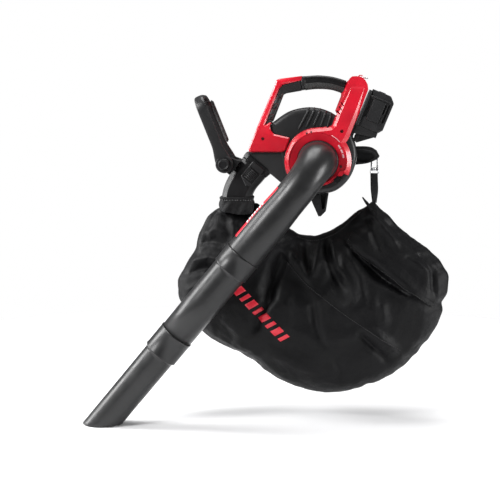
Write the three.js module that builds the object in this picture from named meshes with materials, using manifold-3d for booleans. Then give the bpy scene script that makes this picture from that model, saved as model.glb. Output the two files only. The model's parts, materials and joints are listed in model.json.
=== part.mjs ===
// Cordless leaf vacuum mulcher. Millimetres, +Z up, in its working pose: the suction tube runs down to
// the left, the operator stands at +X, -Y is the intake side and +Y the motor side. The part's origin is
// where the fan axis, which runs along Y, meets the flat end of the motor cover. The pieces are drawn about
// the middle plane of the fan housing, in a group that is moved there.
import * as THREE from "three";
import { mergeVertices } from "three/addons/utils/BufferGeometryUtils.js";
import Module from "manifold-3d";

// ---------- driving dimensions ----------
const GAP = 0.3; // clearance between neighbouring pieces
const WALL = 2.6; // moulded wall thickness
const SEAM = 0.15; // half of the gap between the two housing halves

const DUCT_ANGLE = 50.4; // slope of the suction tube and of the outlet, degrees below horizontal
const SPINE_ANGLE = 68; // slope of the rear spine, of the front post and of the battery rail

const SCROLL_HALF = 36; // half width of the fan housing
const SCROLL_POLAR = [ // fan housing rim: angle in degrees, radius
  [140, 135], [120, 129.5], [98, 122], [76, 112.5], [50, 101],
  [22, 91], [0, 85.5], [-30, 80.5], [-62, 78], [-100, 78],
];
const CHAMBER_R = 75; // round part of the fan chamber
const OUTLET_N = [69.2, 135]; // outlet walls, measured square to the duct direction
const OUTLET_S = 92.5; // outlet mouth, measured along the duct direction
const INTAKE_R = 41;

const RING_R = 75.5;
const RING_INNER_R = 46.6;
const RING_FRONT = -46;
const RING_BAND_R = 57; // narrow lower part of the ring
const SPINE_HALF = 44; // half width of the spine at the ring
const SPINE_LEAN = [62, 188, 11]; // from this height to this one, each side of the spine narrows by so much
const FOOT_HALF = 42; // half width of the front post at its foot
const POST_LEAN = [62, 150, 22]; // and how its sides narrow
const PANEL_HALF = 39; // half width of the dark panel inside the post, at the foot
const GRIP_HALF = PANEL_HALF - POST_LEAN[2];

const TUBE_Y = -125; // plane of the suction tube
const TUBE_N = -6.4; // the tube axis passes this far from the fan axis
const TUBE_WALL = 2.6;
const UPPER_R = 41.3;
const MIDDLE_R = 39.4;
const NOZZLE_R = 36.2;
const SOCKET_1 = [259, 304]; // stations along the tube
const SOCKET_2 = [494, 552];
const MOUTH_Z = -597;

const IMPELLER_R = 64;
const SHAFT_R = 4;
const MOTOR_R = 27;
const MOTOR_Y = [40, 100];
const MOTOR_COVER_R = 56;
const MOTOR_COVER_END = 112;

const PACK_ALONG = [108.5, 195]; // battery, measured up the spine
const PACK_OUT = [52, 108]; // battery, measured out from the spine
const PACK_HALF = 38;
const DOCK_STOP = [96, 108]; // shelf that the battery lands on, measured up the spine
const DOCK_BACK = 44.9; // back of the dock, measured out from the spine

const ELBOW_HALF = 33.5; // half width of the outlet elbow
const ELBOW_END = [-188, -104]; // x and z of the elbow's lower end
const AUX_PIVOT = [-211, -7.5]; // x and z of the front handle's pivot
const AUX_REACH = 152; // pivot to the middle of the cross bar
const AUX_TILT = 112; // direction of the arms, degrees up from +X
const AUX_INNER = 46; // half distance between the arms
const AUX_THICK = 9;
const AUX_WIDTH = 27;

const HOOK_PIN = [126.5, 15]; // x and z of the pin that the bag clip hangs on
const BAG_CENTRE = [0, -330];
const BAG_Y = 8;
const BAG_HALF = 74;

const SCREWS = { spine: [53.3, 67], ring: [51.9, -11.9], foot: [-124.6, 50] }; // x and z
const SCREW_R = 3.1;
const LATCH = { at: [45, -42], size: 13, tilt: -43 }; // tube latch on the ring
const BUTTON_S = [108, 132]; // outlet release button, along the duct
const BUTTON_N = [84, 108]; // and square to it
const FRAME_S = [96, 136]; // raised frame round that button
const FRAME_N = [81, 111];
const TRIGGER_X = [-26, 48];
const TRIGGER_HALF = 8.6;
const FAN_BLADES = 8;
const VENT_PITCH = 7.5;
const STRAP_X = 127;
const LOOP_R = 7.6; // ring for the shoulder strap
const LOOP_DROOP = -12; // the ring lies back over the spine, degrees below level
const THROUGH = 60; // long enough to cut through from the middle plane

// ---------- small helpers ----------
const wasm = await Module();
wasm.setup();

const RAD = Math.PI / 180;
const V = (x, y, z) => new THREE.Vector3(x, y, z);
const E = [-Math.cos(DUCT_ANGLE * RAD), -Math.sin(DUCT_ANGLE * RAD)]; // down the ducts, in x and z
const N = [-Math.sin(DUCT_ANGLE * RAD), Math.cos(DUCT_ANGLE * RAD)]; // square to it, up and forward
const A = [Math.cos(SPINE_ANGLE * RAD), Math.sin(SPINE_ANGLE * RAD)]; // up the spine
const P = [Math.sin(SPINE_ANGLE * RAD), -Math.cos(SPINE_ANGLE * RAD)]; // out towards the battery

// Points in x and z from the duct's and the spine's own directions.
const duct = (s, n) => [E[0] * s + N[0] * n, E[1] * s + N[1] * n];
const rail = (a, p) => [A[0] * a + P[0] * p, A[1] * a + P[1] * p];
const polar = (degrees, r, x = 0, z = 0) => [x + r * Math.cos(degrees * RAD), z + r * Math.sin(degrees * RAD)];

function toSolid(geometry) {
  const bare = geometry.index ? geometry.clone() : geometry;
  for (const name of Object.keys(bare.attributes)) {
    if (name !== "position") bare.deleteAttribute(name);
  }
  const merged = mergeVertices(bare, 1e-4);
  const mesh = new wasm.Mesh({
    numProp: 3,
    vertProperties: new Float32Array(merged.attributes.position.array),
    triVerts: new Uint32Array(merged.index.array),
  });
  return new wasm.Manifold(mesh);
}

function toGeometry(solid) {
  const mesh = solid.getMesh();
  const geometry = new THREE.BufferGeometry();
  geometry.setAttribute("position", new THREE.BufferAttribute(mesh.vertProperties, 3));
  geometry.setIndex(new THREE.BufferAttribute(mesh.triVerts, 1));
  geometry.computeVertexNormals();
  return geometry;
}

const join = (...solids) => solids.reduce((all, one) => all.add(one));
const cut = (solid, ...tools) => tools.reduce((left, tool) => left.subtract(tool), solid);

function shapeOf(points, holes = []) {
  const shape = new THREE.Shape(points.map(([x, z]) => new THREE.Vector2(x, z)));
  for (const hole of holes) shape.holes.push(new THREE.Path(hole.map(([x, z]) => new THREE.Vector2(x, z))));
  return shape;
}

// An outline in x and z, carried from y0 to y1.
function prism(points, y0, y1, bevel = 0) {
  const options = { depth: y1 - y0 - 2 * bevel, bevelEnabled: bevel > 0, curveSegments: 12 };
  if (bevel > 0) {
    Object.assign(options, { bevelThickness: bevel, bevelSize: bevel, bevelOffset: -bevel, bevelSegments: 1 });
  }
  const geometry = new THREE.ExtrudeGeometry(shapeOf(points), options);
  return toSolid(geometry.rotateX(Math.PI / 2).translate(0, y1 - bevel, 0));
}

// A round bar along Y.
function bar([x, z], r, y0, y1, segments = 28) {
  return toSolid(new THREE.CylinderGeometry(r, r, y1 - y0, segments).translate(x, (y0 + y1) / 2, z));
}

// A ring along Y.
const ringY = (centre, outer, inner, y0, y1, segments = 36) =>
  bar(centre, outer, y0, y1, segments).subtract(bar(centre, inner, y0 - 1, y1 + 1, segments));

// A profile of [radius, y] turned round the fan axis.
function turned(profile, segments = 36) {
  const outline = profile.map(([r, y]) => new THREE.Vector2(r, y));
  return toSolid(new THREE.LatheGeometry(outline, segments));
}

function box(x, y, z, cx, cy, cz, tilt = 0) {
  return toSolid(new THREE.BoxGeometry(x, y, z).rotateY(-tilt * RAD).translate(cx, cy, cz));
}

// A closed skin over rings of points, with flat ends.
function loft(rings) {
  const count = rings[0].length;
  const positions = [];
  const index = [];
  for (const ring of rings) {
    for (const p of ring) positions.push(p.x, p.y, p.z);
  }
  for (let i = 0; i + 1 < rings.length; i++) {
    for (let j = 0; j < count; j++) {
      const a = i * count + j;
      const b = i * count + ((j + 1) % count);
      index.push(a, b, b + count, a, b + count, a + count);
    }
  }
  for (const [at, flip] of [[0, true], [rings.length - 1, false]]) {
    const centre = rings[at].reduce((sum, p) => sum.add(p), V(0, 0, 0)).multiplyScalar(1 / count);
    const hub = positions.length / 3;
    positions.push(centre.x, centre.y, centre.z);
    for (let j = 0; j < count; j++) {
      const a = at * count + j;
      const b = at * count + ((j + 1) % count);
      index.push(hub, flip ? b : a, flip ? a : b);
    }
  }
  const geometry = new THREE.BufferGeometry();
  geometry.setAttribute("position", new THREE.Float32BufferAttribute(positions, 3));
  geometry.setIndex(index);
  return toSolid(geometry);
}

// The ring of a section, given as [u, v] pairs, at a point with a direction. side is a direction that the
// path never turns towards, so that the rings don't twist.
function sectionRing(section, centre, direction, side = V(0, 1, 0)) {
  const forward = direction.clone().normalize();
  const u = side.clone().cross(forward).normalize();
  const v = forward.clone().cross(u);
  return section.map(([a, b]) => centre.clone().addScaledVector(u, a).addScaledVector(v, b));
}

const circle = (r, segments = 28) =>
  Array.from({ length: segments }, (_, i) => polar((360 * i) / segments, r));

// A rectangle in the duct's directions and one in the spine's.
const ductPatch = ([s0, s1], [n0, n1], grow = 0) => [
  duct(s0 - grow, n0 - grow), duct(s0 - grow, n1 + grow),
  duct(s1 + grow, n1 + grow), duct(s1 + grow, n0 - grow),
];
const railPatch = ([a0, a1], [p0, p1]) => [rail(a0, p0), rail(a0, p1), rail(a1, p1), rail(a1, p0)];
const shifted = (points, dx) => points.map(([x, z]) => [x + dx, z]);
const reversed = (points) => points.slice().reverse();

const chamfered = (half, c) => [
  [half, -half + c], [half, half - c], [half - c, half], [-half + c, half],
  [-half, half - c], [-half, -half + c], [-half + c, -half], [half - c, -half],
];

// A rectangle with rounded corners, turned by tilt about its centre.
function rounded(cx, cz, w, h, r, tilt = 0) {
  const points = [];
  const corners = [[1, 1, 0], [-1, 1, 90], [-1, -1, 180], [1, -1, 270]];
  for (const [sx, sz, start] of corners) {
    for (const step of [0, 45, 90]) {
      const [x, z] = polar(start + step, r, sx * (w / 2 - r), sz * (h / 2 - r));
      points.push(polar(Math.atan2(z, x) / RAD + tilt, Math.hypot(x, z), cx, cz));
    }
  }
  return points;
}

const PAINT = {
  red: [0xd3101f, 0.35, 0],
  charcoal: [0x2b2b2d, 0.5, 0],
  black: [0x1b1b1d, 0.6, 0],
  rubber: [0x232325, 0.85, 0],
  fabric: [0x19181b, 0.95, 0],
  steel: [0x9a9ca0, 0.35, 1],
  chrome: [0xd8dade, 0.12, 1],
  copper: [0xb06a3a, 0.4, 1],
  board: [0x1d4a2c, 0.6, 0],
};

const machine = new THREE.Group();
const aboutMidPlane = new THREE.Group();
aboutMidPlane.position.y = -MOTOR_COVER_END;
machine.add(aboutMidPlane);

function add(name, solid, paint) {
  const [color, roughness, metalness] = PAINT[paint];
  const material = new THREE.MeshStandardMaterial({ color, roughness, metalness });
  const mesh = new THREE.Mesh(toGeometry(solid), material);
  mesh.name = name;
  aboutMidPlane.add(mesh);
}

// ---------- fan housing ----------
// The rim of the fan housing, moved inwards by inset. The chamber follows it, then closes round the fan
// to the tongue at the outlet; the outside runs on to a flat lower corner.
function scrollRim(inset) {
  const keys = SCROLL_POLAR.map(([angle, r]) => new THREE.Vector2(...polar(angle, r - inset)));
  return new THREE.SplineCurve(keys).getPoints(45).map((p) => [p.x, p.y]);
}

function scrollOutline(inset = 0) {
  return [
    duct(OUTLET_S - inset, OUTLET_N[1] - inset),
    ...scrollRim(inset),
    duct(OUTLET_S - 6 - inset, 2 + inset),
    duct(OUTLET_S - inset, 10 + inset),
  ].reverse();
}

function chamberOutline() {
  const arc = [];
  for (let angle = -104; angle >= -194; angle -= 10) arc.push(polar(angle, CHAMBER_R));
  return [
    duct(OUTLET_S + 5, OUTLET_N[1] - WALL),
    ...scrollRim(WALL),
    ...arc,
    duct(38, OUTLET_N[0] + WALL),
    duct(OUTLET_S + 5, OUTLET_N[0] + WALL),
  ].reverse();
}

const outside = scrollOutline();
const chamber = prism(chamberOutline(), -SCROLL_HALF + WALL, SCROLL_HALF - WALL);
const keepOut = prism(scrollOutline(-GAP), -SCROLL_HALF - GAP, SCROLL_HALF + GAP);

add("scroll_housing_near", cut(
  prism(outside, -SCROLL_HALF, -SEAM),
  chamber,
  bar([0, 0], INTAKE_R, -SCROLL_HALF - 1, 0, 36),
), "black");

add("scroll_housing_far", cut(
  prism(outside, SEAM, SCROLL_HALF),
  chamber,
  bar([0, 0], 12, 0, SCROLL_HALF + 1),
), "black");

// ---------- red body shells ----------
const SPINE_LEFT = [[0, 75.4], [24, 74.6], [31, 75.5], [35.5, 80], [43, 97], [55.5, 136], [55.5, 149]];
const SPINE_TOP = [[66, 179], [71, 184], [77, 186], [88, 184.5], [101, 177], [110, 162]];
const SPINE_RIGHT = [rail(135, 44.5), rail(88, 44.5), [66, 40]];
const spineOutline = [[0, 60], ...reversed(SPINE_RIGHT), ...reversed(SPINE_TOP), ...reversed(SPINE_LEFT)];
const spineCavity = [rail(118, 6), rail(100, 39), rail(170, 39), rail(170, 6)];
const dockWindow = railPatch([126, 168], [34, 50]);

function ringSector(outer, from, to) {
  const points = [];
  for (let angle = from; angle <= to + 0.01; angle += (to - from) / 40) points.push(polar(angle, outer));
  return points.concat([[0, 0]]);
}

const screwHole = (at, front) =>
  join(bar(at, SCREW_R + 0.9, front - 1, front + 3, 16), bar(at, 1.6, front, front + 30, 12));
const latchOutline = (grow) => rounded(...LATCH.at, LATCH.size + grow, LATCH.size + grow, 1.5, LATCH.tilt);
const latchPocket = prism(latchOutline(1), RING_FRONT - 10, -SCROLL_HALF - GAP);

// The outside that a leaning flank takes away from a piece of this half width, on one side.
function flank(side, half, [low, high, lean]) {
  const wedge = new THREE.Shape([
    new THREE.Vector2(side * half, low),
    new THREE.Vector2(side * (half - lean), high),
    new THREE.Vector2(side * (half - lean), high + 60),
    new THREE.Vector2(side * (half + 20), high + 60),
    new THREE.Vector2(side * (half + 20), low),
  ]);
  const geometry = new THREE.ExtrudeGeometry(wedge, { depth: 400, bevelEnabled: false });
  return toSolid(geometry.rotateX(Math.PI / 2).rotateZ(Math.PI / 2).translate(200, 0, 0));
}

const ring = cut(
  join(
    prism(ringSector(RING_R, -25, 205), RING_FRONT, -SCROLL_HALF - GAP),
    prism(ringSector(RING_BAND_R, -157, -23), RING_FRONT, -SCROLL_HALF - GAP),
  ),
  bar([0, 0], RING_INNER_R, -60, 0, 36),
  latchPocket,
);
const intakeBore = bar([0, 0], RING_INNER_R, -THROUGH, 0, 36);
const coverBore = bar([0, 0], MOTOR_COVER_R + GAP, 0, THROUGH, 40);
const spineNear = cut(prism(spineOutline, -SPINE_HALF, -SEAM), keepOut, intakeBore);
add("body_shell_near", cut(
  join(ring, spineNear),
  prism(spineCavity, -SPINE_HALF + 15, 1),
  prism(dockWindow, -20, 1),
  flank(-1, SPINE_HALF, SPINE_LEAN),
  screwHole(SCREWS.spine, -SPINE_HALF),
  screwHole(SCREWS.ring, RING_FRONT),
), "red");

const lugHole = [94, 188.5];
const strapLug = prism([[86, 180], [102, 174], [100, 187], [97, 193], [91, 193.5], [87, 190]], SEAM, 4);
const farRing = cut(
  prism(ringSector(66, -180, 178), SCROLL_HALF + GAP, SPINE_HALF + 4),
  coverBore,
);
const spineFar = cut(prism(spineOutline, SEAM, SPINE_HALF), keepOut, coverBore);
add("body_shell_far", cut(
  join(farRing, spineFar, strapLug),
  prism(spineCavity, -1, SPINE_HALF - 15),
  prism(dockWindow, -1, 20),
  flank(1, SPINE_HALF, SPINE_LEAN),
  bar(lugHole, 3.2, -1, 6, 16),
), "red");

// ---------- front post and top handle ----------
const POST_OUTER = [[-158, 27.5], [-96, 181.5], [-91, 184.5], [-38, 191]];
const POST_LINER = [[-106.5, 88.5], [-121, 80], [-88, 162], [-82, 169], [-40, 178.5]];
const FOOT = [[-101, 61], [-63, 52.5], [-72, 26], [-80.5, 20], [-152, 20]];
const postRed = [...FOOT, ...POST_OUTER, ...reversed(POST_LINER), [-107.5, 70]].reverse();

// One half of the front post, which straddles the fan housing at its foot.
const postHalf = (side, y0, y1) => cut(prism(postRed, y0, y1), keepOut, flank(side, FOOT_HALF, POST_LEAN));
const footScrewHole = screwHole(SCREWS.foot, -FOOT_HALF);
add("front_post_near", cut(postHalf(-1, -FOOT_HALF, -SEAM), footScrewHole), "red");
add("front_post_far", postHalf(1, SEAM, FOOT_HALF), "red");

const GRIP_TOP = [[-37.5, 190.5], [0, 192.5], [26, 190], [48, 184.5], [65, 179]];
const GRIP_BOTTOM = [[-40, 158.5], [0, 162.5], [26, 160.5], [46, 154.5], [54.8, 150]];
const RUBBER = 4; // thickness of the soft top of the grip
const lowered = GRIP_TOP.map(([x, z]) => [x - 0.2, z - RUBBER - GAP]);
const frameOutline = [
  ...shifted([[-120.4, 82], [-106.6, 89.6], [-82, 149.5], [-75.5, 152.5]], 0.6), ...GRIP_BOTTOM, [63.5, 174],
  ...reversed(lowered), [-39.8, 178], ...shifted([[-81.6, 168.4], [-87.6, 161.7]], 0.6),
];
const [TRIGGER_LEFT, TRIGGER_RIGHT] = TRIGGER_X;
const triggerPocket = prism([
  [TRIGGER_LEFT - 1.5, 150], [TRIGGER_RIGHT + 1, 145], [TRIGGER_RIGHT + 1, 172], [20, 178], [8, 187],
  [-24, 185.5], [TRIGGER_LEFT - 1.5, 172],
], -TRIGGER_HALF - 0.9, TRIGGER_HALF + 0.9);
const spineRoom = (dx) => prism(shifted(spineOutline, dx), -THROUGH, THROUGH);
function frameHalf(side, y0, y1) {
  const tools = [triggerPocket, spineRoom(0), keepOut, flank(side, PANEL_HALF, POST_LEAN)];
  return cut(prism(frameOutline, y0, y1), ...tools);
}
add("handle_frame_near", frameHalf(-1, -PANEL_HALF, -SEAM), "charcoal");
add("handle_frame_far", frameHalf(1, SEAM, PANEL_HALF), "charcoal");

const rubberOutline = [...reversed(GRIP_TOP), ...GRIP_TOP.map(([x, z]) => [x, z - RUBBER])];
add("grip_rubber", cut(prism(rubberOutline, -GRIP_HALF, GRIP_HALF), spineRoom(-0.4)), "rubber");

const triggerOutline = [
  [TRIGGER_LEFT, 160.6], ...GRIP_BOTTOM.slice(1, 3), [TRIGGER_RIGHT - 1, 154.4], [TRIGGER_RIGHT - 1, 161],
  [26, 168], [0, 170], [TRIGGER_LEFT, 168],
];
add("trigger", prism(triggerOutline, -TRIGGER_HALF, TRIGGER_HALF), "charcoal");
add("trigger_switch", prism([[-22, 174], [6, 174.5], [6, 184], [-22, 184]], -8, 8), "black");

// ---------- motor, fan and mulching blade ----------
const shaftBore = bar([0, 0], SHAFT_R + GAP, -40, 40, 16);
const fanBlades = [];
for (let i = 0; i < FAN_BLADES; i++) {
  const blade = new THREE.BoxGeometry(IMPELLER_R - 15, 34, 2.4).translate((IMPELLER_R + 13) / 2, 8.5, 6);
  fanBlades.push(toSolid(blade.rotateY((2 * Math.PI * i) / FAN_BLADES)));
}
const fanDisc = turned([[0, 24.5], [IMPELLER_R, 24.5], [IMPELLER_R, 27.5], [0, 27.5]]);
const fanHub = bar([0, 0], 16, -8.6, 26, 24);
add("impeller", cut(join(fanDisc, fanHub, ...fanBlades), shaftBore), "charcoal");

const knife = (turn) => toSolid(new THREE.BoxGeometry(72, 2.5, 9).translate(0, -12, 0).rotateY(turn));
add("mulching_blade", cut(join(knife(0.4), knife(0.4 + Math.PI / 2)), shaftBore), "steel");
add("impeller_nut", cut(bar([0, 0], 7.5, -20.5, -13.6, 6), shaftBore), "steel");
add("motor_shaft", bar([0, 0], SHAFT_R, -23, 104, 16), "steel");
add("motor_rotor", ringY([0, 0], 19.5, SHAFT_R + GAP, 54, 86, 24), "steel");
const bearingBore = (y0, y1) => bar([0, 0], 11.3, y0, y1, 24);
add("motor_can", cut(
  bar([0, 0], MOTOR_R, MOTOR_Y[0], MOTOR_Y[1], 32),
  bar([0, 0], MOTOR_R - 2, MOTOR_Y[0] + 8, MOTOR_Y[1] - 8, 32),
  bearingBore(MOTOR_Y[0] - 1, MOTOR_Y[1] + 1),
), "steel");
add("motor_stator", ringY([0, 0], MOTOR_R - 2.6, 21, 54, 86, 24), "copper");
add("bearing_front", ringY([0, 0], 11, SHAFT_R + GAP, MOTOR_Y[0], MOTOR_Y[0] + 7, 24), "steel");
add("bearing_rear", ringY([0, 0], 11, SHAFT_R + GAP, MOTOR_Y[1] - 7, MOTOR_Y[1], 24), "steel");

const coverProfile = [
  [MOTOR_COVER_R - WALL, SCROLL_HALF + GAP], [MOTOR_COVER_R, SCROLL_HALF + GAP],
  [MOTOR_COVER_R, MOTOR_COVER_END - 14], [MOTOR_COVER_R - 12, MOTOR_COVER_END],
  [0, MOTOR_COVER_END], [0, MOTOR_COVER_END - WALL],
  [MOTOR_COVER_R - 13, MOTOR_COVER_END - WALL], [MOTOR_COVER_R - WALL, MOTOR_COVER_END - 15.5],
];
const coverVents = [];
for (let i = -4; i <= 4; i++) {
  const height = 2 * Math.sqrt(34 ** 2 - (i * VENT_PITCH) ** 2);
  coverVents.push(box(3.6, 10, height, i * VENT_PITCH, MOTOR_COVER_END, 0));
}
const coverRibs = [45, 135].map((turn) => {
  const rib = new THREE.BoxGeometry(2 * MOTOR_COVER_R - 4, 30, 2.4).translate(0, 67, 0);
  return toSolid(rib.rotateY(turn * RAD));
});
const motorNest = bar([0, 0], MOTOR_R + 3, 52, 82, 32);
const motorRoom = bar([0, 0], MOTOR_R + GAP, 30, 100.5, 32);
const coverShell = turned([...coverProfile, coverProfile[0]], 40);
const endDisc = bar([0, 0], 12, MOTOR_COVER_END - WALL, MOTOR_COVER_END);
add("motor_cover", join(
  cut(join(coverShell, ...coverRibs, motorNest), motorRoom, ...coverVents),
  endDisc,
), "black");

// ---------- battery, dock and electronics ----------
const [PACK_FOOT, PACK_HEAD] = PACK_ALONG;
const [PACK_IN, PACK_BACK] = PACK_OUT;
const packOutline = [
  rail(PACK_FOOT, PACK_IN), rail(PACK_FOOT, PACK_BACK - 6), rail(PACK_FOOT + 6, PACK_BACK),
  rail(PACK_HEAD - 9, PACK_BACK), rail(PACK_HEAD - 1, PACK_BACK - 9), rail(PACK_HEAD, PACK_IN + 4),
  rail(PACK_HEAD - 4, PACK_IN),
];
const buttonSlot = railPatch([PACK_HEAD - 6, PACK_HEAD + 4], [66, 84]);
add("battery_pack", cut(prism(packOutline, -PACK_HALF, PACK_HALF), prism(buttonSlot, -12, 12)), "black");
const buttonOutline = [
  rail(PACK_HEAD - 2.6, 66.5), rail(PACK_HEAD - 2.6, 83.5),
  rail(PACK_HEAD + 1.6, 82.5), rail(PACK_HEAD + 1.6, 67.5),
];
add("battery_release_button", prism(buttonOutline, -11.5, 11.5), "red");

const dockPlate = railPatch([DOCK_STOP[0] + 4, PACK_HEAD - 8], [DOCK_BACK, PACK_IN - GAP]);
const dockShelf = railPatch(DOCK_STOP, [DOCK_BACK, PACK_BACK - 8]);
const dockWedge = [[78, 48], [86, 41.5], [128, 54], [126, 61], [90, 78]];
add("battery_dock", cut(
  join(prism(dockPlate, -27, 27), prism(dockShelf, -32, 32), prism(dockWedge, -24, 24)),
  keepOut,
  spineRoom(GAP),
), "black");
add("control_board", prism(railPatch([116, 166], [30, 32]), -26, 26), "board");

// ---------- rear hook arm, lower fin and tube latch ----------
const hookOutline = [
  [80, 32.5], [107, 32.5], [120.5, 30], [131.5, 23.5], [138.5, 11], [134, 4], [112, -5], [80, -9.5],
].reverse();
const hookSlot = [[116, 40], [150, 40], [150, -20], [113, -20]];
add("hook_arm", cut(
  join(cut(prism(hookOutline, -13, 13), prism(hookSlot, -5.5, 5.5)), bar(HOOK_PIN, 2.6, -8, 8, 12)),
  keepOut,
), "black");
const finOutline = [[-26, -68], [-14, -94], [1, -127], [6.5, -127], [17.5, -115.5], [24, -70]];
const finHollow = [[2, -60], [9, -112], [15, -110], [20, -60]];
add("bottom_fin", cut(prism(finOutline, -15, 15), prism(finHollow, -16, 8), keepOut), "black");
add("tube_latch", prism(latchOutline(0), RING_FRONT - 2, -SCROLL_HALF - 4.2), "black");

// ---------- screws and strap ring ----------
for (const [name, front] of [["spine", -SPINE_HALF], ["ring", RING_FRONT], ["foot", -FOOT_HALF]]) {
  const head = bar(SCREWS[name], SCREW_R, front + 0.6, front + 2.7, 16);
  const socket = bar(SCREWS[name], 1.5, front, front + 1.8, 6);
  add(`${name}_screw`, cut(head, socket), "steel");
}
const loopCentre = polar(LOOP_DROOP, LOOP_R, ...lugHole);
const strapRing = new THREE.TorusGeometry(LOOP_R, 1.3, 8, 20);
strapRing.rotateY(-LOOP_DROOP * RAD);
add("strap_ring", toSolid(strapRing.translate(loopCentre[0], 2, loopCentre[1])), "chrome");

// ---------- suction tube ----------
const tubePoint = (s) => V(duct(s, TUBE_N)[0], TUBE_Y, duct(s, TUBE_N)[1]);
const DOWN = V(E[0], 0, E[1]);
const TUBE_SIDE = V(N[0], 0, N[1]);
const ELBOW_START = V(0, -60, 0);
const BEND_END = 88;
const bend = new THREE.CubicBezierCurve3(
  ELBOW_START, V(0, -98, 0), tubePoint(BEND_END).addScaledVector(DOWN, -48), tubePoint(BEND_END),
);

// Stations of the upper tube: [centre, direction, radius].
function upperStations(shrink) {
  const stations = [
    [V(0, -37 + (shrink ? 1 : 0), 0), V(0, -1, 0), 40],
    [V(0, -50.4, 0), V(0, -1, 0), 40],
    [V(0, -50.5, 0), V(0, -1, 0), shrink ? 40 : 44.6],
    [ELBOW_START, V(0, -1, 0), shrink ? 40 : 44],
  ];
  for (let i = 1; i <= 9; i++) {
    const t = i / 9;
    stations.push([bend.getPoint(t), bend.getTangent(t), THREE.MathUtils.lerp(44, 37.6, Math.min(1, 1.4 * t))]);
  }
  stations.push(
    [tubePoint(150), DOWN, UPPER_R],
    [tubePoint(SOCKET_1[0] - 0.5), DOWN, UPPER_R],
    [tubePoint(SOCKET_1[0] - 0.4), DOWN, shrink ? UPPER_R : 39.6],
    [tubePoint(SOCKET_1[1] - 2 + (shrink ? 1 : 0)), DOWN, 39.6],
  );
  return stations.map(([centre, direction, r]) => {
    const radius = shrink ? Math.min(r, r > 39.6 && centre.y < -60 ? 39.6 : r) - TUBE_WALL : r;
    return sectionRing(circle(radius), centre, direction, TUBE_SIDE);
  });
}

// A straight stretch of tube from [station, radius] pairs.
const straight = (stations) => loft(stations.map(([s, r]) => sectionRing(circle(r), tubePoint(s), DOWN)));

add("tube_lock_collar", ringY([0, 0], 46, 40.4, RING_FRONT - 2, -SCROLL_HALF - GAP, 36), "charcoal");
add("intake_elbow_tube", cut(loft(upperStations(false)), loft(upperStations(true))), "charcoal");

const middleEnd = SOCKET_2[1] - 3;
add("middle_tube", cut(
  straight([
    [SOCKET_1[0], 42.6], [SOCKET_1[1], 42.6], [SOCKET_1[1] + 2, MIDDLE_R],
    [SOCKET_2[0] - 0.4, MIDDLE_R - 0.8], [SOCKET_2[0] - 0.3, 37.6], [middleEnd, 37.6],
  ]),
  straight([
    [SOCKET_1[0] - 1, 40], [SOCKET_1[1] - 1.5, 40], [SOCKET_1[1] - 1.4, MIDDLE_R - TUBE_WALL],
    [SOCKET_2[0], 35.2], [middleEnd + 1, 35.2],
  ]),
), "charcoal");

add("nozzle_tube", cut(
  straight([[SOCKET_2[0], 40.6], [SOCKET_2[1], 40.6], [SOCKET_2[1] + 2, NOZZLE_R], [860, NOZZLE_R - 0.6]]),
  straight([
    [SOCKET_2[0] - 1, 38], [middleEnd + 0.6, 38], [middleEnd + 0.7, NOZZLE_R - TUBE_WALL],
    [861, NOZZLE_R - TUBE_WALL - 0.6],
  ]),
  box(400, 200, 200, -500, TUBE_Y, MOUTH_Z - 100),
), "charcoal");

// ---------- outlet elbow, its release button and the front handle ----------
const elbowN = (OUTLET_N[0] + OUTLET_N[1]) / 2;
const flat3 = ([x, z]) => V(x, 0, z);
const ELBOW_S = [OUTLET_S + GAP, 158];
const elbowBend = new THREE.QuadraticBezierCurve3(
  flat3(duct(ELBOW_S[1], elbowN)), V(ELBOW_END[0], 0, -58), V(ELBOW_END[0], 0, ELBOW_END[1] + 22),
);

function elbowRings(half, corner, overrun) {
  const section = chamfered(half, corner);
  const rings = [
    sectionRing(section, flat3(duct(ELBOW_S[0] - overrun, elbowN)), DOWN),
    sectionRing(section, flat3(duct(ELBOW_S[1], elbowN)), DOWN),
  ];
  for (const t of [0.25, 0.5, 0.75, 1]) {
    rings.push(sectionRing(section, elbowBend.getPoint(t), elbowBend.getTangent(t)));
  }
  rings.push(sectionRing(section, V(ELBOW_END[0], 0, ELBOW_END[1] - overrun), V(0, 0, -1)));
  return rings;
}
const buttonPocket = prism(ductPatch(BUTTON_S, BUTTON_N, 0.6), -THROUGH, -ELBOW_HALF - 0.4);
const buttonFrame = prism(ductPatch(FRAME_S, FRAME_N), -ELBOW_HALF - 5.5, -ELBOW_HALF + 1);
add("outlet_elbow", cut(
  join(loft(elbowRings(ELBOW_HALF, 9, 0)), buttonFrame),
  loft(elbowRings(ELBOW_HALF - WALL, 8, 1)),
  buttonPocket,
), "black");
const outletButton = prism(ductPatch(BUTTON_S, BUTTON_N), -ELBOW_HALF - 6.2, -ELBOW_HALF - 4);
add("outlet_release_button", outletButton, "charcoal");

// The bracket stands on the elbow's upper side and carries the pivot between its two cheeks.
const [PIVOT_X, PIVOT_Z] = AUX_PIVOT;
const bracketOutline = [
  duct(112, 134), duct(152, 134), [PIVOT_X - 4, PIVOT_Z - 13], [PIVOT_X - 13, PIVOT_Z - 2],
  [PIVOT_X - 3, PIVOT_Z + 12], [PIVOT_X + 16, PIVOT_Z + 14],
].reverse();
const betweenCheeks = [[-260, 40], [-178, 40], [-188, -12], [-205, -45], [-260, -60]];
const boltBore = bar(AUX_PIVOT, 4.4, -80, 80, 16);
add("handle_bracket", cut(
  prism(bracketOutline, -AUX_INNER + 1, AUX_INNER - 1),
  loft(elbowRings(ELBOW_HALF + GAP, 9, 10)),
  prism(betweenCheeks, -30, 30),
  boltBore,
), "black");

const auxEnd = polar(AUX_TILT, AUX_REACH, ...AUX_PIVOT);
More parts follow.
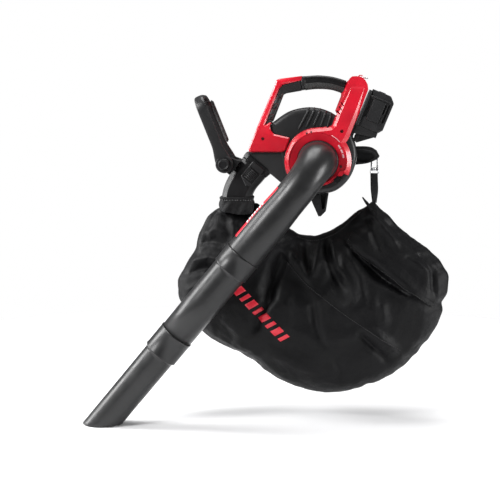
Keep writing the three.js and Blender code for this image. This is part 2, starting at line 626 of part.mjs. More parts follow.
// An arm with round ends: one about the pivot and one about the cross bar.
function armOutline(widthAtPivot, width) {
  const points = [];
  for (let turn = -90; turn <= 90; turn += 22.5) {
    points.push(polar(AUX_TILT + turn, width / 2, ...auxEnd));
  }
  for (let turn = 90; turn <= 270; turn += 22.5) {
    points.push(polar(AUX_TILT + turn, widthAtPivot / 2, ...AUX_PIVOT));
  }
  return points;
}
const arm = armOutline(AUX_WIDTH + 12, AUX_WIDTH);
const AUX_OUTER = AUX_INNER + AUX_THICK;
const belowBar = new THREE.BoxGeometry(400, 200, 400).translate(0, 0, AUX_REACH - 214);
belowBar.rotateY((90 - AUX_TILT) * RAD).translate(PIVOT_X, 0, PIVOT_Z);
const crossBar = cut(prism(armOutline(AUX_WIDTH, AUX_WIDTH), -AUX_OUTER, AUX_OUTER), toSolid(belowBar));
add("front_handle", cut(
  join(prism(arm, -AUX_OUTER, -AUX_INNER), prism(arm, AUX_INNER, AUX_OUTER), crossBar),
  boltBore,
), "charcoal");

const PAD = 3; // thickness of the soft pad
// A point at a distance up the far arm's rear edge, standing proud of it.
function padPoint(distance, proud) {
  const half = THREE.MathUtils.lerp(AUX_WIDTH / 2 + 6, AUX_WIDTH / 2, distance / AUX_REACH);
  return polar(AUX_TILT - 90, half + GAP + proud, ...polar(AUX_TILT, distance, ...AUX_PIVOT));
}
const padOutline = [
  padPoint(50, 0), padPoint(54, PAD), padPoint(AUX_REACH - 14, PAD), padPoint(AUX_REACH - 10, 0),
];
add("front_handle_pad", prism(padOutline, AUX_INNER + 1, AUX_OUTER - 1), "rubber");
add("handle_bolt", bar(AUX_PIVOT, 4, -AUX_OUTER - 1, AUX_OUTER + 9, 16), "steel");
const knob = bar(AUX_PIVOT, 12.5, -AUX_OUTER - 9, -AUX_OUTER - GAP, 20);
add("handle_knob", cut(knob, bar(AUX_PIVOT, 4.4, -AUX_OUTER - 4, 0, 16)), "black");
add("handle_nut", cut(bar(AUX_PIVOT, 9, AUX_OUTER + GAP, AUX_OUTER + 6, 6), boltBore), "steel");

// ---------- bag, cuff, strap and snap hook ----------
const CUFF_Z = [ELBOW_END[1] - 14, ELBOW_END[1] + 22];
const cuffRing = (half, corner, z) => sectionRing(chamfered(half, corner), V(ELBOW_END[0], 0, z), V(0, 0, -1));
const cuffOutside = [[5, CUFF_Z[1]], [9, -100], [7, CUFF_Z[0]]];
const cuffInside = [CUFF_Z[1] + 1, CUFF_Z[0] - 1];
add("bag_cuff", cut(
  loft(cuffOutside.map(([proud, z]) => cuffRing(ELBOW_HALF + proud, 13, z))),
  loft(cuffInside.map((z) => cuffRing(ELBOW_HALF + 0.6, 9, z))),
), "fabric");

// The bag's outline seen from the side, clockwise from its neck. It is a pillow about its centre.
const BAG_OUTLINE = [
  [-226, -121], [-150, -121], [-96, -140], [-52, -167], [-15, -174], [25, -163], [62, -140], [113, -100],
  [140, -104], [190, -148], [270, -216], [294, -256], [292, -305], [266, -384], [191, -474], [100, -521],
  [10, -532], [-85, -507], [-178, -451], [-268, -399], [-316, -331], [-324, -284], [-290, -205],
  [-276, -160], [-250, -126],
];
const bagCurve = new THREE.CatmullRomCurve3(BAG_OUTLINE.map(([x, z]) => V(x, 0, z)), true);
const bagEdge = bagCurve.getSpacedPoints(44).slice(0, 44).reverse();
// The outline at a height from -1 to 1 across the bag. Near the neck the bag is thinner.
function bagRing(height) {
  const share = Math.pow(Math.max(0, 1 - Math.abs(height) ** 2.4), 1 / 2.2);
  return bagEdge.map((p) => {
    const fullness = 0.55 + 0.45 * THREE.MathUtils.clamp((-p.z - 100) / 200, 0, 1);
    return V(
      THREE.MathUtils.lerp(BAG_CENTRE[0], p.x, share),
      BAG_Y + height * BAG_HALF * fullness,
      THREE.MathUtils.lerp(BAG_CENTRE[1], p.z, share),
    );
  });
}
const levels = [-0.97, -0.8, -0.5, -0.2, 0.2, 0.5, 0.8, 0.97];
add("collection_bag", loft(levels.map(bagRing).reverse()), "fabric");

const strapOutline = [
  [STRAP_X - 10, -28.5], [STRAP_X + 9, -28.5], [STRAP_X + 5, -96], [STRAP_X - 4, -96],
].reverse();
add("bag_strap", prism(strapOutline, BAG_Y - 18, BAG_Y + 2), "fabric");

const snapOuter = prism(rounded(STRAP_X, 0, 17, 46, 8), -2.4, 2.4);
const snapInner = prism(rounded(STRAP_X, 0, 9.6, 38.6, 4.6), -4, 4);
const snapFoot = prism(rounded(STRAP_X, -20, 18, 5, 2), -3.2, 3.2);
const gateGap = box(8, 8, 21, STRAP_X + 8, 0, 0.5);
add("snap_hook", join(cut(snapOuter, snapInner, gateGap), snapFoot), "chrome");
add("snap_gate", box(3.2, 4, 19.8, STRAP_X + 6.6, 0, 0.5), "chrome");

export default machine;
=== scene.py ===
"""The looks of the leaf vacuum mulcher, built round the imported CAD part. Blender 4.5, metres, +Z up.

Sub-part shapes are written in millimetres from the middle of the fan:
x to the operator, y to the motor, z up.
"""

import json
import math

import bmesh
import bpy
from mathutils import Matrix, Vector, geometry, noise
from mathutils.bvhtree import BVHTree


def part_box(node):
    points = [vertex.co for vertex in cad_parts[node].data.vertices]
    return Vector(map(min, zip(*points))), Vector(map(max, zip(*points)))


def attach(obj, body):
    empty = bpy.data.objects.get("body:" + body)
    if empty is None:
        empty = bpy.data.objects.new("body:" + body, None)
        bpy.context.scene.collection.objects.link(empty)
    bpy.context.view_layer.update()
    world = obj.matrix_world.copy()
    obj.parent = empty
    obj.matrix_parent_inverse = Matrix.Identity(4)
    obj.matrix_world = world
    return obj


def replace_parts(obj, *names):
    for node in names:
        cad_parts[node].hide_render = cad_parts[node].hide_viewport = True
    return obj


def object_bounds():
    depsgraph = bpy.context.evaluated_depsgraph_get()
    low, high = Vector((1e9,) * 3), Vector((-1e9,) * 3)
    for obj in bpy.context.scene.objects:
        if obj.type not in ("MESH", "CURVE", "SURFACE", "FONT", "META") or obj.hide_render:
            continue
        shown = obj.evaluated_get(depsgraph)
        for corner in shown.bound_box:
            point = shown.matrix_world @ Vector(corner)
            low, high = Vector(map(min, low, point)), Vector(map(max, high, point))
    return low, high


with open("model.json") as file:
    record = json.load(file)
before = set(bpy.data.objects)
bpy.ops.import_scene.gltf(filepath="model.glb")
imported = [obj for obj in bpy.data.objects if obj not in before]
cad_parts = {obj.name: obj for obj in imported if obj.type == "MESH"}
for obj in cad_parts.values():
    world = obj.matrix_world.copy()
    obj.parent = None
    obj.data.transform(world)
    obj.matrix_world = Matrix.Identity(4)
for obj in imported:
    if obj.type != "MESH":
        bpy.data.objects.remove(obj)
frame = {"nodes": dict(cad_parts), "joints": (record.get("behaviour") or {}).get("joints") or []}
cad_low, cad_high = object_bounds()

# ---------- measures taken from the frame ----------
MM = 0.001
joints = {joint["name"]: joint for joint in frame["joints"]}
FAN = Vector(joints["fan_spin"]["pos_m"])
DOWN = Vector(joints["nozzle_pull"]["axis"]).normalized()  # down the suction tube and the outlet
UP_DUCT = Vector((DOWN.z, 0, -DOWN.x))  # square to it, up and forward
RAIL = Vector(joints["battery_slide"]["axis"]).normalized()  # up the rear spine
OUT = Vector((RAIL.z, 0, -RAIL.x))  # square to it, towards the battery
PIVOT = Vector(joints["front_handle_tilt"]["pos_m"])
Y_AXIS, Z_AXIS = Vector((0, 1, 0)), Vector((0, 0, 1))
GAP = 0.3  # mm between neighbouring pieces


def from_fan(point):
    """A point of the frame, in mm from the fan."""
    return (point - FAN) / MM


def on_plane(point):
    """x and z of a point of the frame, in mm from the fan."""
    return (point.x - FAN.x) / MM, (point.z - FAN.z) / MM


def low(node):
    """The lowest corner of a CAD node, in mm from the fan."""
    return from_fan(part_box(node)[0])


def high(node):
    """The highest corner of a CAD node, in mm from the fan."""
    return from_fan(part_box(node)[1])


def span(node, direction):
    """The least and greatest distance of a CAD node's points along a direction, in mm from the fan."""
    reach = [(v.co - FAN).dot(direction) / MM for v in frame["nodes"][node].data.vertices]
    return min(reach), max(reach)


def duct(s, n):
    """x and z of a point s mm down the duct and n mm square to it."""
    p = DOWN * s + UP_DUCT * n
    return p.x, p.z


def in_duct(s, n, y=0):
    """The place of a point of the duct, y mm off the middle plane."""
    x, z = duct(s, n)
    return place(x, y, z)


def rail(a, p):
    """x and z of a point a mm up the spine and p mm out from it."""
    q = RAIL * a + OUT * p
    return q.x, q.z


def sided(name, side):
    """The name of a piece on the near side (-1) or the far side (1)."""
    return f"{name}_{'near' if side < 0 else 'far'}"


def polar(degrees, radius, centre=(0, 0)):
    angle = math.radians(degrees)
    return centre[0] + radius * math.cos(angle), centre[1] + radius * math.sin(angle)


def arc(start, end, radius, step=3.0):
    """Points on an arc, both ends included, turning from start to end in degrees."""
    count = max(1, round(abs(end - start) / step))
    return [polar(start + (end - start) * i / count, radius) for i in range(count + 1)]


def lerp(a, b, t):
    return a + (b - a) * t


def clamp(value, least=0.0, most=1.0):
    return max(least, min(most, value))


def smooth(edge0, edge1, value):
    t = clamp((value - edge0) / (edge1 - edge0))
    return t * t * (3 - 2 * t)


# ---------- outlines ----------
def fillet(corners, radius=2.0, steps=5):
    """An outline with its corners rounded. A corner may carry its own radius as a third number."""
    points = []
    count = len(corners)
    for i, corner in enumerate(corners):
        here = Vector(corner[:2])
        before = Vector(corners[i - 1][:2]) - here
        after = Vector(corners[(i + 1) % count][:2]) - here
        own = corner[2] if len(corner) > 2 else radius
        half_turn = before.angle(after) / 2
        reach = own / max(0.05, math.tan(half_turn)) if own else 0
        reach = min(reach, before.length * 0.49, after.length * 0.49)
        if reach < 0.35:
            points.append(tuple(here))
            continue
        start, end = here + before.normalized() * reach, here + after.normalized() * reach
        for k in range(steps + 1):
            t = k / steps
            points.append(tuple(start * (1 - t) ** 2 + here * 2 * t * (1 - t) + end * t * t))
    return points


def area(points):
    return sum(a[0] * b[1] - b[0] * a[1] for a, b in zip(points, points[1:] + points[:1])) / 2


def inset(points, distance):
    """The outline moved inwards. distance may be a number or one number for each point."""
    count = len(points)
    each = distance if isinstance(distance, list) else [distance] * count
    if not any(each):
        return list(points)
    moved = []
    for i in range(count):
        p, q, r = Vector(points[i - 1]), Vector(points[i]), Vector(points[(i + 1) % count])
        a, b = (q - p).normalized(), (r - q).normalized()
        normal = Vector((-a.y - b.y, a.x + b.x))
        if normal.length < 1e-6:
            normal = Vector((-a.y, a.x))
        normal.normalize()
        stretch = 1 / max(0.45, normal.dot(Vector((-a.y, a.x))))
        moved.append(q + normal * each[i] * stretch)
    return [tuple(p) for p in mitred(points, moved, each)]


def mitred(points, moved, each):
    """Where an inset outline would cross itself, its points are gathered at the crossing."""
    count = len(points)
    edges = [(Vector(points[i]), Vector(points[(i + 1) % count])) for i in range(count)]

    def distance(p):
        best = 1e9
        for a, b in edges:
            along = b - a
            t = clamp((p - a).dot(along) / max(1e-9, along.length_squared))
            best = min(best, (p - a - along * t).length)
        return best

    good = [distance(p) > abs(each[i]) * 0.97 for i, p in enumerate(moved)]
    if all(good) or not any(good):
        return moved
    start = good.index(True)
    i = 0
    while i < count:
        here = (start + i) % count
        if good[here]:
            i += 1
            continue
        run = 0
        while not good[(here + run) % count]:
            run += 1
        before, after = (here - 1) % count, (here + run) % count
        a0, a1 = moved[before - 1], moved[before]
        b0, b1 = moved[after], moved[(after + 1) % count]
        past_a, past_b = a1 + (a1 - a0).normalized() * 40, b0 + (b0 - b1).normalized() * 40
        cross = geometry.intersect_line_line_2d(a1, past_a, b0, past_b)
        target = Vector(cross) if cross else (a1 + b0) / 2
        for k in range(run):
            moved[(here + k) % count] = target.copy()
        i += run
    return moved


def cap_outline(node, side):
    """The outer outline of a CAD node's flat cap at its lowest (-1) or highest (1) y, as x and z in mm."""
    level = (low(node) if side < 0 else high(node)).y
    bm = bmesh.new()
    bm.from_mesh(frame["nodes"][node].data)
    bmesh.ops.remove_doubles(bm, verts=bm.verts, dist=2e-5)
    cap = {f for f in bm.faces if all(abs((v.co.y - FAN.y) / MM - level) < 0.05 for v in f.verts)}
    follow = {}
    for edge in bm.edges:
        faces = [f for f in edge.link_faces if f in cap]
        if len(faces) == 1:
            a, b = edge.verts
            follow.setdefault(a, []).append(b)
            follow.setdefault(b, []).append(a)
    loops = []
    while follow:
        start = min(follow, key=lambda v: v.index)
        loop, here = [start], start
        while follow.get(here):
            step = follow[here].pop()
            follow[step].remove(here)
            if step is start:
                break
            loop.append(step)
            here = step
        for v in loop:
            if not follow.get(v):
                follow.pop(v, None)
        if len(loop) > 2:
            loops.append([on_plane(v.co) for v in loop])
    bm.free()
    outline = max(loops, key=lambda points: abs(area(points)))
    return outline if area(outline) > 0 else outline[::-1]


def refine(points, corner=24.0, spacing=3.0):
    """The outline with its straight-sided curves made smooth. Corners sharper than `corner` degrees stay."""
    kept = []
    count = len(points)
    for i, q in enumerate(points):
        a, b = Vector(q) - Vector(points[i - 1]), Vector(points[(i + 1) % count]) - Vector(q)
        if a.length > 1e-3 and b.length > 1e-3 and a.angle(b) > math.radians(0.4):
            kept.append(q)
    count = len(kept)
    sharp = []
    for i, q in enumerate(kept):
        a, b = Vector(q) - Vector(kept[i - 1]), Vector(kept[(i + 1) % count]) - Vector(q)
        sharp.append(math.degrees(a.angle(b)) > corner)
    made = []
    for i in range(count):
        p1, p2 = Vector(kept[i]), Vector(kept[(i + 1) % count])
        p0 = p1 * 2 - p2 if sharp[i] else Vector(kept[i - 1])
        p3 = p2 * 2 - p1 if sharp[(i + 1) % count] else Vector(kept[(i + 2) % count])
        length = (p2 - p1).length
        steps = max(1, round(length / spacing)) if length < 30 else 1
        slope1 = (p2 - p0) * (length / max(1e-6, (p1 - p0).length + length))
        slope2 = (p3 - p1) * (length / max(1e-6, (p3 - p2).length + length))
        for k in range(steps):
            t = k / steps
            made.append(tuple(
                p1 * (2 * t**3 - 3 * t**2 + 1) + slope1 * (t**3 - 2 * t**2 + t)
                + p2 * (3 * t**2 - 2 * t**3) + slope2 * (t**3 - t**2)
            ))
    return made


# ---------- mesh building ----------
def place(x, y, z):
    return FAN + Vector((x, y, z)) * MM


def new_piece(name, vertices, faces, material, body):
    """A mesh object from points in the frame's own metres, riding on a CAD body."""
    mesh = bpy.data.meshes.new(name)
    mesh.from_pydata([tuple(v) for v in vertices], [], faces)
    mesh.validate()
    mesh.polygons.foreach_set("use_smooth", [True] * len(mesh.polygons))
    mesh.materials.append(material)
    piece = bpy.data.objects.new(name, mesh)
    bpy.context.scene.collection.objects.link(piece)
    if body:
        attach(piece, body)
    return piece


def outward(piece):
    """Turns all faces of a closed piece outwards."""
    bm = bmesh.new()
    bm.from_mesh(piece.data)
    bmesh.ops.recalc_face_normals(bm, faces=bm.faces)
    bm.to_mesh(piece.data)
    bm.free()
    return piece


def fill(loops, base):
    """Triangles that fill the outline loops[0] less the holes after it. loops hold (x, z) pairs."""
    flat = [[Vector((x, z, 0)) for x, z in loop] for loop in loops]
    return [tuple(base[i] for i in triangle) for triangle in geometry.tessellate_polygon(flat)]


def moulding(name, outline, rim, material, holes=(), body="root", scale=None, shift=None, cuts=(),
             backless=False, hole_scale=lambda x, z: 1.0):
    """A moulded piece: an outline carried along y. rim lists (inset, y) from its back edge to its front face.

    scale gives each outline point its share of the inset. holes are outlines cut straight through, or
    (outline, rim) pairs with a rim of (growth, y). shift(x, z) moves the front of the piece along y, and cuts
    are heights at which the faces are split first. backless leaves the back open.
    """
    if area(outline) < 0:
        outline = outline[::-1]
    shares = [scale(*p) for p in outline] if scale else [1.0] * len(outline)
    vertices, faces, ends = [], [], [[], []]

    def stack(loops):
        rings = []
        for points, y in loops:
            rings.append(list(range(len(vertices), len(vertices) + len(points))))
            vertices.extend((x, y, z) for x, z in points)
        for a, b in zip(rings, rings[1:]):
            for j in range(len(a)):
                k = (j + 1) % len(a)
                faces.append((a[j], a[k], b[k], b[j]))
        ends[0].append((loops[0][0], rings[0]))
        ends[1].append((loops[-1][0], rings[-1]))

    stack([(inset(outline, [depth * share for share in shares]), y) for depth, y in rim])
    for hole in holes:
        hole, hole_rim = hole if isinstance(hole, tuple) else (hole, [(0, rim[0][1]), (0, rim[-1][1])])
        hole = hole if area(hole) > 0 else hole[::-1]
        stack([(inset(hole, [-grow * hole_scale(*p) for p in hole]), y) for grow, y in hole_rim])
    for end, members in enumerate(ends):
        if end == 0 and backless:
            continue
        base = [i for _, ring in members for i in ring]
        faces.extend(fill([points for points, _ in members], base))
    bm = bmesh.new()
    made = [bm.verts.new(v) for v in vertices]
    for face in faces:
        if len(set(face)) > 2:
            try:
                bm.faces.new([made[i] for i in face])
            except ValueError:
                pass
    front_y = rim[1][1]
    for height in cuts:
        bmesh.ops.bisect_plane(
            bm, geom=bm.verts[:] + bm.edges[:] + bm.faces[:], plane_co=(0, 0, height), plane_no=(0, 0, 1)
        )
    if shift:
        towards = 1 if rim[-1][1] > rim[0][1] else -1
        for v in bm.verts:
            share = clamp((v.co.y - rim[0][1]) / (front_y - rim[0][1]))
            v.co.y -= towards * shift(v.co.x, v.co.z) * share
    bmesh.ops.recalc_face_normals(bm, faces=bm.faces)
    if backless:
        face = max(bm.faces, key=lambda f: f.calc_area() * abs(f.normal.y))
        if face.normal.y * (rim[-1][1] - rim[0][1]) < 0:
            bmesh.ops.reverse_faces(bm, faces=bm.faces)
    bmesh.ops.remove_doubles(bm, verts=bm.verts, dist=0.02)
    bmesh.ops.dissolve_degenerate(bm, edges=bm.edges, dist=0.02)
    points = [place(*v.co) for v in bm.verts]
    bm.verts.index_update()
    polygons = [[v.index for v in f.verts] for f in bm.faces]
    bm.free()
    return new_piece(name, points, polygons, material, body)


def heading(path, i):
    """The direction of a path at its point i, from the point before to the point after."""
    return path[min(len(path) - 1, i + 1)] - path[max(0, i - 1)]


def skin(rings, closed=True, caps=True):
    """Vertices and faces over rings of points. The rings close on themselves, and the ends may be capped."""
    count = len(rings[0])
    vertices = [p for ring in rings for p in ring]
    faces = []
    for i in range(len(rings) - (0 if closed == "both" else 1)):
        for j in range(count if closed else count - 1):
            a, b = i * count + j, i * count + (j + 1) % count
            c = (i + 1) % len(rings) * count
            faces.append((a, b, c + (j + 1) % count, c + j))
    if caps:
        faces.append(tuple(range(count))[::-1])
        faces.append(tuple(range(len(vertices) - count, len(vertices))))
    return vertices, faces


def skinned(name, rings, material, body="root", closed=True, caps=True):
    """A piece whose surface runs over rings of points."""
    vertices, faces = skin(rings, closed, caps)
    return outward(new_piece(name, vertices, faces, material, body))


def ring_of(section, centre, across, up):
    """A section of (u, v) pairs in mm, spread along two directions at a point in metres."""
    return [centre + across * (u * MM) + up * (v * MM) for u, v in section]


def section_ring(section, centre, direction, side=Y_AXIS):
    """A section of (u, v) pairs in mm, square to direction at a point in metres. v lies nearest to side."""
    forward = direction.normalized()
    u = side.cross(forward).normalized()
    return ring_of(section, centre, u, forward.cross(u))


def sweep(name, path, section, material, body="root", side=Y_AXIS, closed=False, caps=True):
    """A section carried along a path of points in metres. section is a list, or a function of the share."""
    count = len(path)
    rings = []
    for i, p in enumerate(path):
        before = path[i - 1] if i or closed else p
        after = path[(i + 1) % count] if i + 1 < count or closed else p
        share = i / (count - 1)
        outline = section(share) if callable(section) else section
        rings.append(section_ring(outline, p, after - before, side))
    return skinned(name, rings, material, body, closed="both" if closed else True, caps=caps and not closed)


def lathe(name, profile, centre, material, body="root", axis=Y_AXIS, segments=64):
    """A profile of (radius, distance along the axis) pairs in mm, turned about an axis through a point."""
    u = axis.orthogonal().normalized()
    v = axis.cross(u)
    rings = []
    for radius, along in profile:
        radius = max(radius, 0.01)
        rings.append([
            centre + axis * (along * MM) + (u * math.cos(t) + v * math.sin(t)) * (radius * MM)
            for t in (2 * math.pi * j / segments for j in range(segments))
        ])
    return skinned(name, rings, material, body, caps=profile[0] != profile[-1])


def circle(radius, count=24):
    return [polar(360 * i / count, radius) for i in range(count)]


def superellipse(half_u, half_v, power=3.0, count=40):
    """A rounded box section. A higher power gives squarer corners."""
    points = []
    for i in range(count):
        t = 2 * math.pi * i / count
        c, s = math.cos(t), math.sin(t)
        points.append((
            half_u * math.copysign(abs(c) ** (2 / power), c),
            half_v * math.copysign(abs(s) ** (2 / power), s),
        ))
    return points


def evenly(points, count):
    """Points spaced evenly round a closed outline of (u, v) pairs."""
    loop = [Vector(p) for p in points] + [Vector(points[0])]
    steps = [(b - a).length for a, b in zip(loop, loop[1:])]
    made, walked, i = [], 0.0, 0
    for k in range(count):
        goal = sum(steps) * k / count
        while walked + steps[i] < goal:
            walked += steps[i]
            i += 1
        made.append(tuple(loop[i].lerp(loop[i + 1], (goal - walked) / max(steps[i], 1e-9))))
    return made


def bezier(a, b, c, d, count):
    return [
        a * (1 - t) ** 3 + b * 3 * t * (1 - t) ** 2 + c * 3 * t * t * (1 - t) + d * t**3
        for t in (i / count for i in range(count + 1))
    ]


def spline(keys, count):
    """Points on a smooth curve through the keys, which are vectors."""
    made = []
    last = len(keys) - 1
    for i in range(last):
        p0, p1, p2, p3 = keys[max(0, i - 1)], keys[i], keys[i + 1], keys[min(last, i + 2)]
        for k in range(count):
            t = k / count
            made.append(
                (p1 * 2 + (p2 - p0) * t + (p0 * 2 - p1 * 5 + p2 * 4 - p3) * t**2
                 + (p1 * 3 - p0 - p2 * 3 + p3) * t**3) / 2
            )
    made.append(keys[-1].copy())
    return made


# ---------- modifiers ----------
def bevel(piece, width, segments=3, angle=28):
    modifier = piece.modifiers.new("round", "BEVEL")
    modifier.width = width * MM
    modifier.segments = segments
    modifier.limit_method = "ANGLE"
    modifier.angle_limit = math.radians(angle)
    modifier.harden_normals = True
    modifier.use_clamp_overlap = True
    return piece


def solidify(piece, thickness, offset=-1):
    modifier = piece.modifiers.new("wall", "SOLIDIFY")
    modifier.thickness = thickness * MM
    modifier.offset = offset
    return piece


def sheet(name, rows, material, thickness, body="root"):
    """A thin sheet over open rows of points, thickened to both sides."""
    return solidify(skinned(name, rows, material, body, closed=False, caps=False), thickness, 0)


def subdivide(piece):
    modifier = piece.modifiers.new("smooth", "SUBSURF")
    modifier.levels = modifier.render_levels = 1
    return piece


def apply_modifiers(piece):
    graph = bpy.context.evaluated_depsgraph_get()
    mesh = bpy.data.meshes.new_from_object(piece.evaluated_get(graph))
    piece.modifiers.clear()
    piece.data = mesh
    return piece


def join(pieces):
    """Joins pieces that share a body into the first one, modifiers applied."""
    bm = bmesh.new()
    materials = []
    for piece in pieces:
        apply_modifiers(piece)
        start = len(bm.faces)
        bm.from_mesh(piece.data)
        bm.faces.ensure_lookup_table()
        slots = []
        for material in piece.data.materials:
            if material not in materials:
                materials.append(material)
            slots.append(materials.index(material))
        for face in bm.faces[start:]:
            face.material_index = slots[face.material_index] if slots else 0
    first = pieces[0]
    mesh = bpy.data.meshes.new(first.name)
    bm.to_mesh(mesh)
    bm.free()
    for material in materials:
        mesh.materials.append(material)
    first.data = mesh
    for piece in pieces[1:]:
        bpy.data.objects.remove(piece)
    return first


def finish(piece, slot, *nodes):
    """Lets a piece stand for CAD nodes, which are hidden. slot is not used."""
    if nodes:
        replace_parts(piece, *nodes)
    return piece


def joined(name, slot, pieces):
    """Joins pieces into one that has its own name."""
    piece = join(pieces)
    piece.name = name
    return finish(piece, slot)


def carve(piece, *tools, shade_lining=None):
    """Cuts the tools out of the piece and deletes them. The cut faces may take a darker material, as painted
    shade.
    """
    own = list(piece.data.materials)
    for tool in tools:
        modifier = piece.modifiers.new("cut", "BOOLEAN")
        modifier.operation = "DIFFERENCE"
        modifier.solver = "MANIFOLD"
        modifier.object = tool
        apply_modifiers(piece)
        bpy.data.objects.remove(tool)
    materials = own + [shade_lining] if shade_lining and shade_lining not in own else own
    for face in piece.data.polygons:
        if face.material_index >= len(own):
            face.material_index = materials.index(shade_lining) if shade_lining else 0
    piece.data.materials.clear()
    for material in materials:
        piece.data.materials.append(material)
    return piece


def cutter(outline, rim):
    """A tool for carve(): an outline carried along y."""
    return moulding("cutter", outline, rim, CUT)


def weighted(piece):
    """Keeps large flat faces flat under smooth shading."""
    modifier = piece.modifiers.new("normals", "WEIGHTED_NORMAL")
    modifier.weight = 80
    modifier.keep_sharp = True
    return piece


def drop_custom_normals(mesh):
    if "custom_normal" in mesh.attributes:
        mesh.attributes.remove(mesh.attributes["custom_normal"])


def soften(node, material, width=0.8, segments=2, angle=30):
    """A CAD node kept as it is, with rounded edges and its finish."""
    piece = frame["nodes"][node]
    drop_custom_normals(piece.data)
    piece.data.polygons.foreach_set("use_smooth", [True] * len(piece.data.polygons))
    weld = piece.modifiers.new("weld", "WELD")
    weld.merge_threshold = 2e-5
    flat = piece.modifiers.new("flat", "DECIMATE")
    flat.decimate_type = "DISSOLVE"
    flat.angle_limit = math.radians(1.5)
    bevel(piece, width, segments, angle)
    paint(piece, material)
    return piece


def paint(piece, material):
    piece.data.materials.clear()
    piece.data.materials.append(material)
    return piece


# ---------- materials ----------
class Shader:
    """A node material. Its patterns are measured in metres in the frame, so grain has its real size."""

    def __init__(self, name):
        self.material = bpy.data.materials.new(name)
        self.material.use_nodes = True
        self.tree = self.material.node_tree
        self.surface = self.tree.nodes["Principled BSDF"]
        self.where = self.node("ShaderNodeTexCoord").outputs["Object"]

    def node(self, kind, inputs=None, **settings):
        made = self.tree.nodes.new(kind)
        for key, value in settings.items():
            setattr(made, key, value)
        for key, value in (inputs or {}).items():
            self.feed(made.inputs[key], value)
        return made

    def feed(self, socket, value):
        if isinstance(value, bpy.types.NodeSocket):
            self.tree.links.new(value, socket)
        else:
            socket.default_value = value

    def set(self, **values):
        for key, value in values.items():
            self.feed(self.surface.inputs[key.replace("_", " ").title().replace("Ior", "IOR")], value)

    def noise(self, scale, detail=3.0, roughness=0.55, where=None):
        inputs = {"Vector": where or self.where, "Scale": scale, "Detail": detail, "Roughness": roughness}
        return self.node("ShaderNodeTexNoise", inputs).outputs["Fac"]

    def cells(self, scale, feature="F1"):
        inputs = {"Vector": self.where, "Scale": scale}
        return self.node("ShaderNodeTexVoronoi", inputs, feature=feature).outputs["Distance"]

    def stretch(self, x, y, z):
        return self.node("ShaderNodeMapping", {"Vector": self.where, "Scale": (x, y, z)}).outputs["Vector"]

    def remap(self, value, from_low, from_high, to_low, to_high):
        inputs = {
            "Value": value, "From Min": from_low, "From Max": from_high, "To Min": to_low, "To Max": to_high,
        }
        return self.node("ShaderNodeMapRange", inputs).outputs["Result"]

    def maths(self, operation, a, b=0.0):
        made = self.node("ShaderNodeMath", operation=operation)
        self.feed(made.inputs[0], a)
        self.feed(made.inputs[1], b)
        return made.outputs[0]

    def mix(self, share, a, b):
        made = self.node("ShaderNodeMix", data_type="RGBA")
        self.feed(made.inputs[0], share)
        self.feed(made.inputs[6], a)
        self.feed(made.inputs[7], b)
        return made.outputs[2]

    def bump(self, height, depth, strength=1.0, under=None):
        inputs = {"Height": height, "Distance": depth * MM, "Strength": strength}
        made = self.node("ShaderNodeBump", inputs)
        if under:
            self.feed(made.inputs["Normal"], under)
        return made.outputs["Normal"]

    def edges(self, radius):
        """Near 1 on outer edges, from how far a rounded normal leaves the true one."""
        rounded = self.node("ShaderNodeBevel", {"Radius": radius * MM}, samples=4).outputs["Normal"]
        true = self.node("ShaderNodeNewGeometry").outputs["Normal"]
        dot = self.node("ShaderNodeVectorMath", operation="DOT_PRODUCT")
        self.feed(dot.inputs[0], rounded)
        self.feed(dot.inputs[1], true)
        return self.remap(dot.outputs["Value"], 0.995, 0.9, 0.0, 1.0)


def grey(value, blue=1.0):
    return value, value, value * blue, 1.0


def times(colour, factor):
    """A colour made darker or lighter."""
    return tuple(c * factor for c in colour[:3]) + (1.0,)


def plastic(name, colour, roughness, grain, depth, edge_wear_and_highlight_colour, edge_wear_and_highlight_share=0.5, coat=0.0, radius=1.0, shine=0.5):
    """Moulded plastic: blotched colour, uneven gloss, a spark-eroded grain, and edges lightened partly as
    rubbed wear and partly as a painted highlight.
    """
    s = Shader(name)
    blotch = s.noise(14, 4)
    tone = s.mix(s.remap(blotch, 0.35, 0.65, 0.0, 1.0), times(colour, 0.86), times(colour, 1.12))
    # Edges move towards the lighter edge colour: partly rubbed wear, partly a painted highlight on the
    # bevels.
    edge_wear_and_highlight = s.maths("MULTIPLY", s.edges(radius), s.remap(s.noise(160, 4), 0.38, 0.62, 0.15, edge_wear_and_highlight_share))
    grainy = s.noise(grain, 3, 0.6)
    dust = s.noise(45, 5, 0.65)
    s.set(
        base_color=s.mix(edge_wear_and_highlight, tone, edge_wear_and_highlight_colour),
        roughness=s.remap(dust, 0.3, 0.7, roughness - 0.06, roughness + 0.08),
        normal=s.bump(grainy, depth),
        coat_weight=coat, coat_roughness=0.12, specular_ior_level=shine,
    )
    return s.material


def rubber(name, colour, dots, depth):
    """Soft grip rubber: round dots pressed into a matt skin, with worn specks."""
    s = Shader(name)
    pitted = s.remap(s.cells(dots), 0.15, 0.5, 1.0, 0.0)
    specks = s.remap(s.noise(900, 2), 0.55, 0.75, 0.0, 1.0)
    tone = s.mix(s.maths("MULTIPLY", specks, 0.5), colour, grey(0.16))
    shade = s.mix(s.maths("MULTIPLY", pitted, 0.55), tone, grey(0.115))
    s.set(
        base_color=shade,
        roughness=s.remap(s.noise(70, 4), 0.3, 0.7, 0.58, 0.78), specular_ior_level=0.3,
        normal=s.bump(pitted, depth, 0.9),
    )
    return s.material


def metal(name, colour, roughness, brushed=600, scratch=0.4):
    """Bare or plated metal with fine scratches and a duller bloom."""
    s = Shader(name)
    lines = s.noise(brushed, 3, 0.6, s.stretch(1, 8, 1))
    s.set(
        base_color=s.mix(s.remap(s.noise(60, 3), 0.35, 0.7, 0, 0.6), colour, times(colour, 0.7)),
        metallic=1.0,
        roughness=s.remap(lines, 0.3, 0.7, roughness * 0.7, roughness * 1.4),
        normal=s.bump(lines, 0.05, scratch),
    )
    return s.material


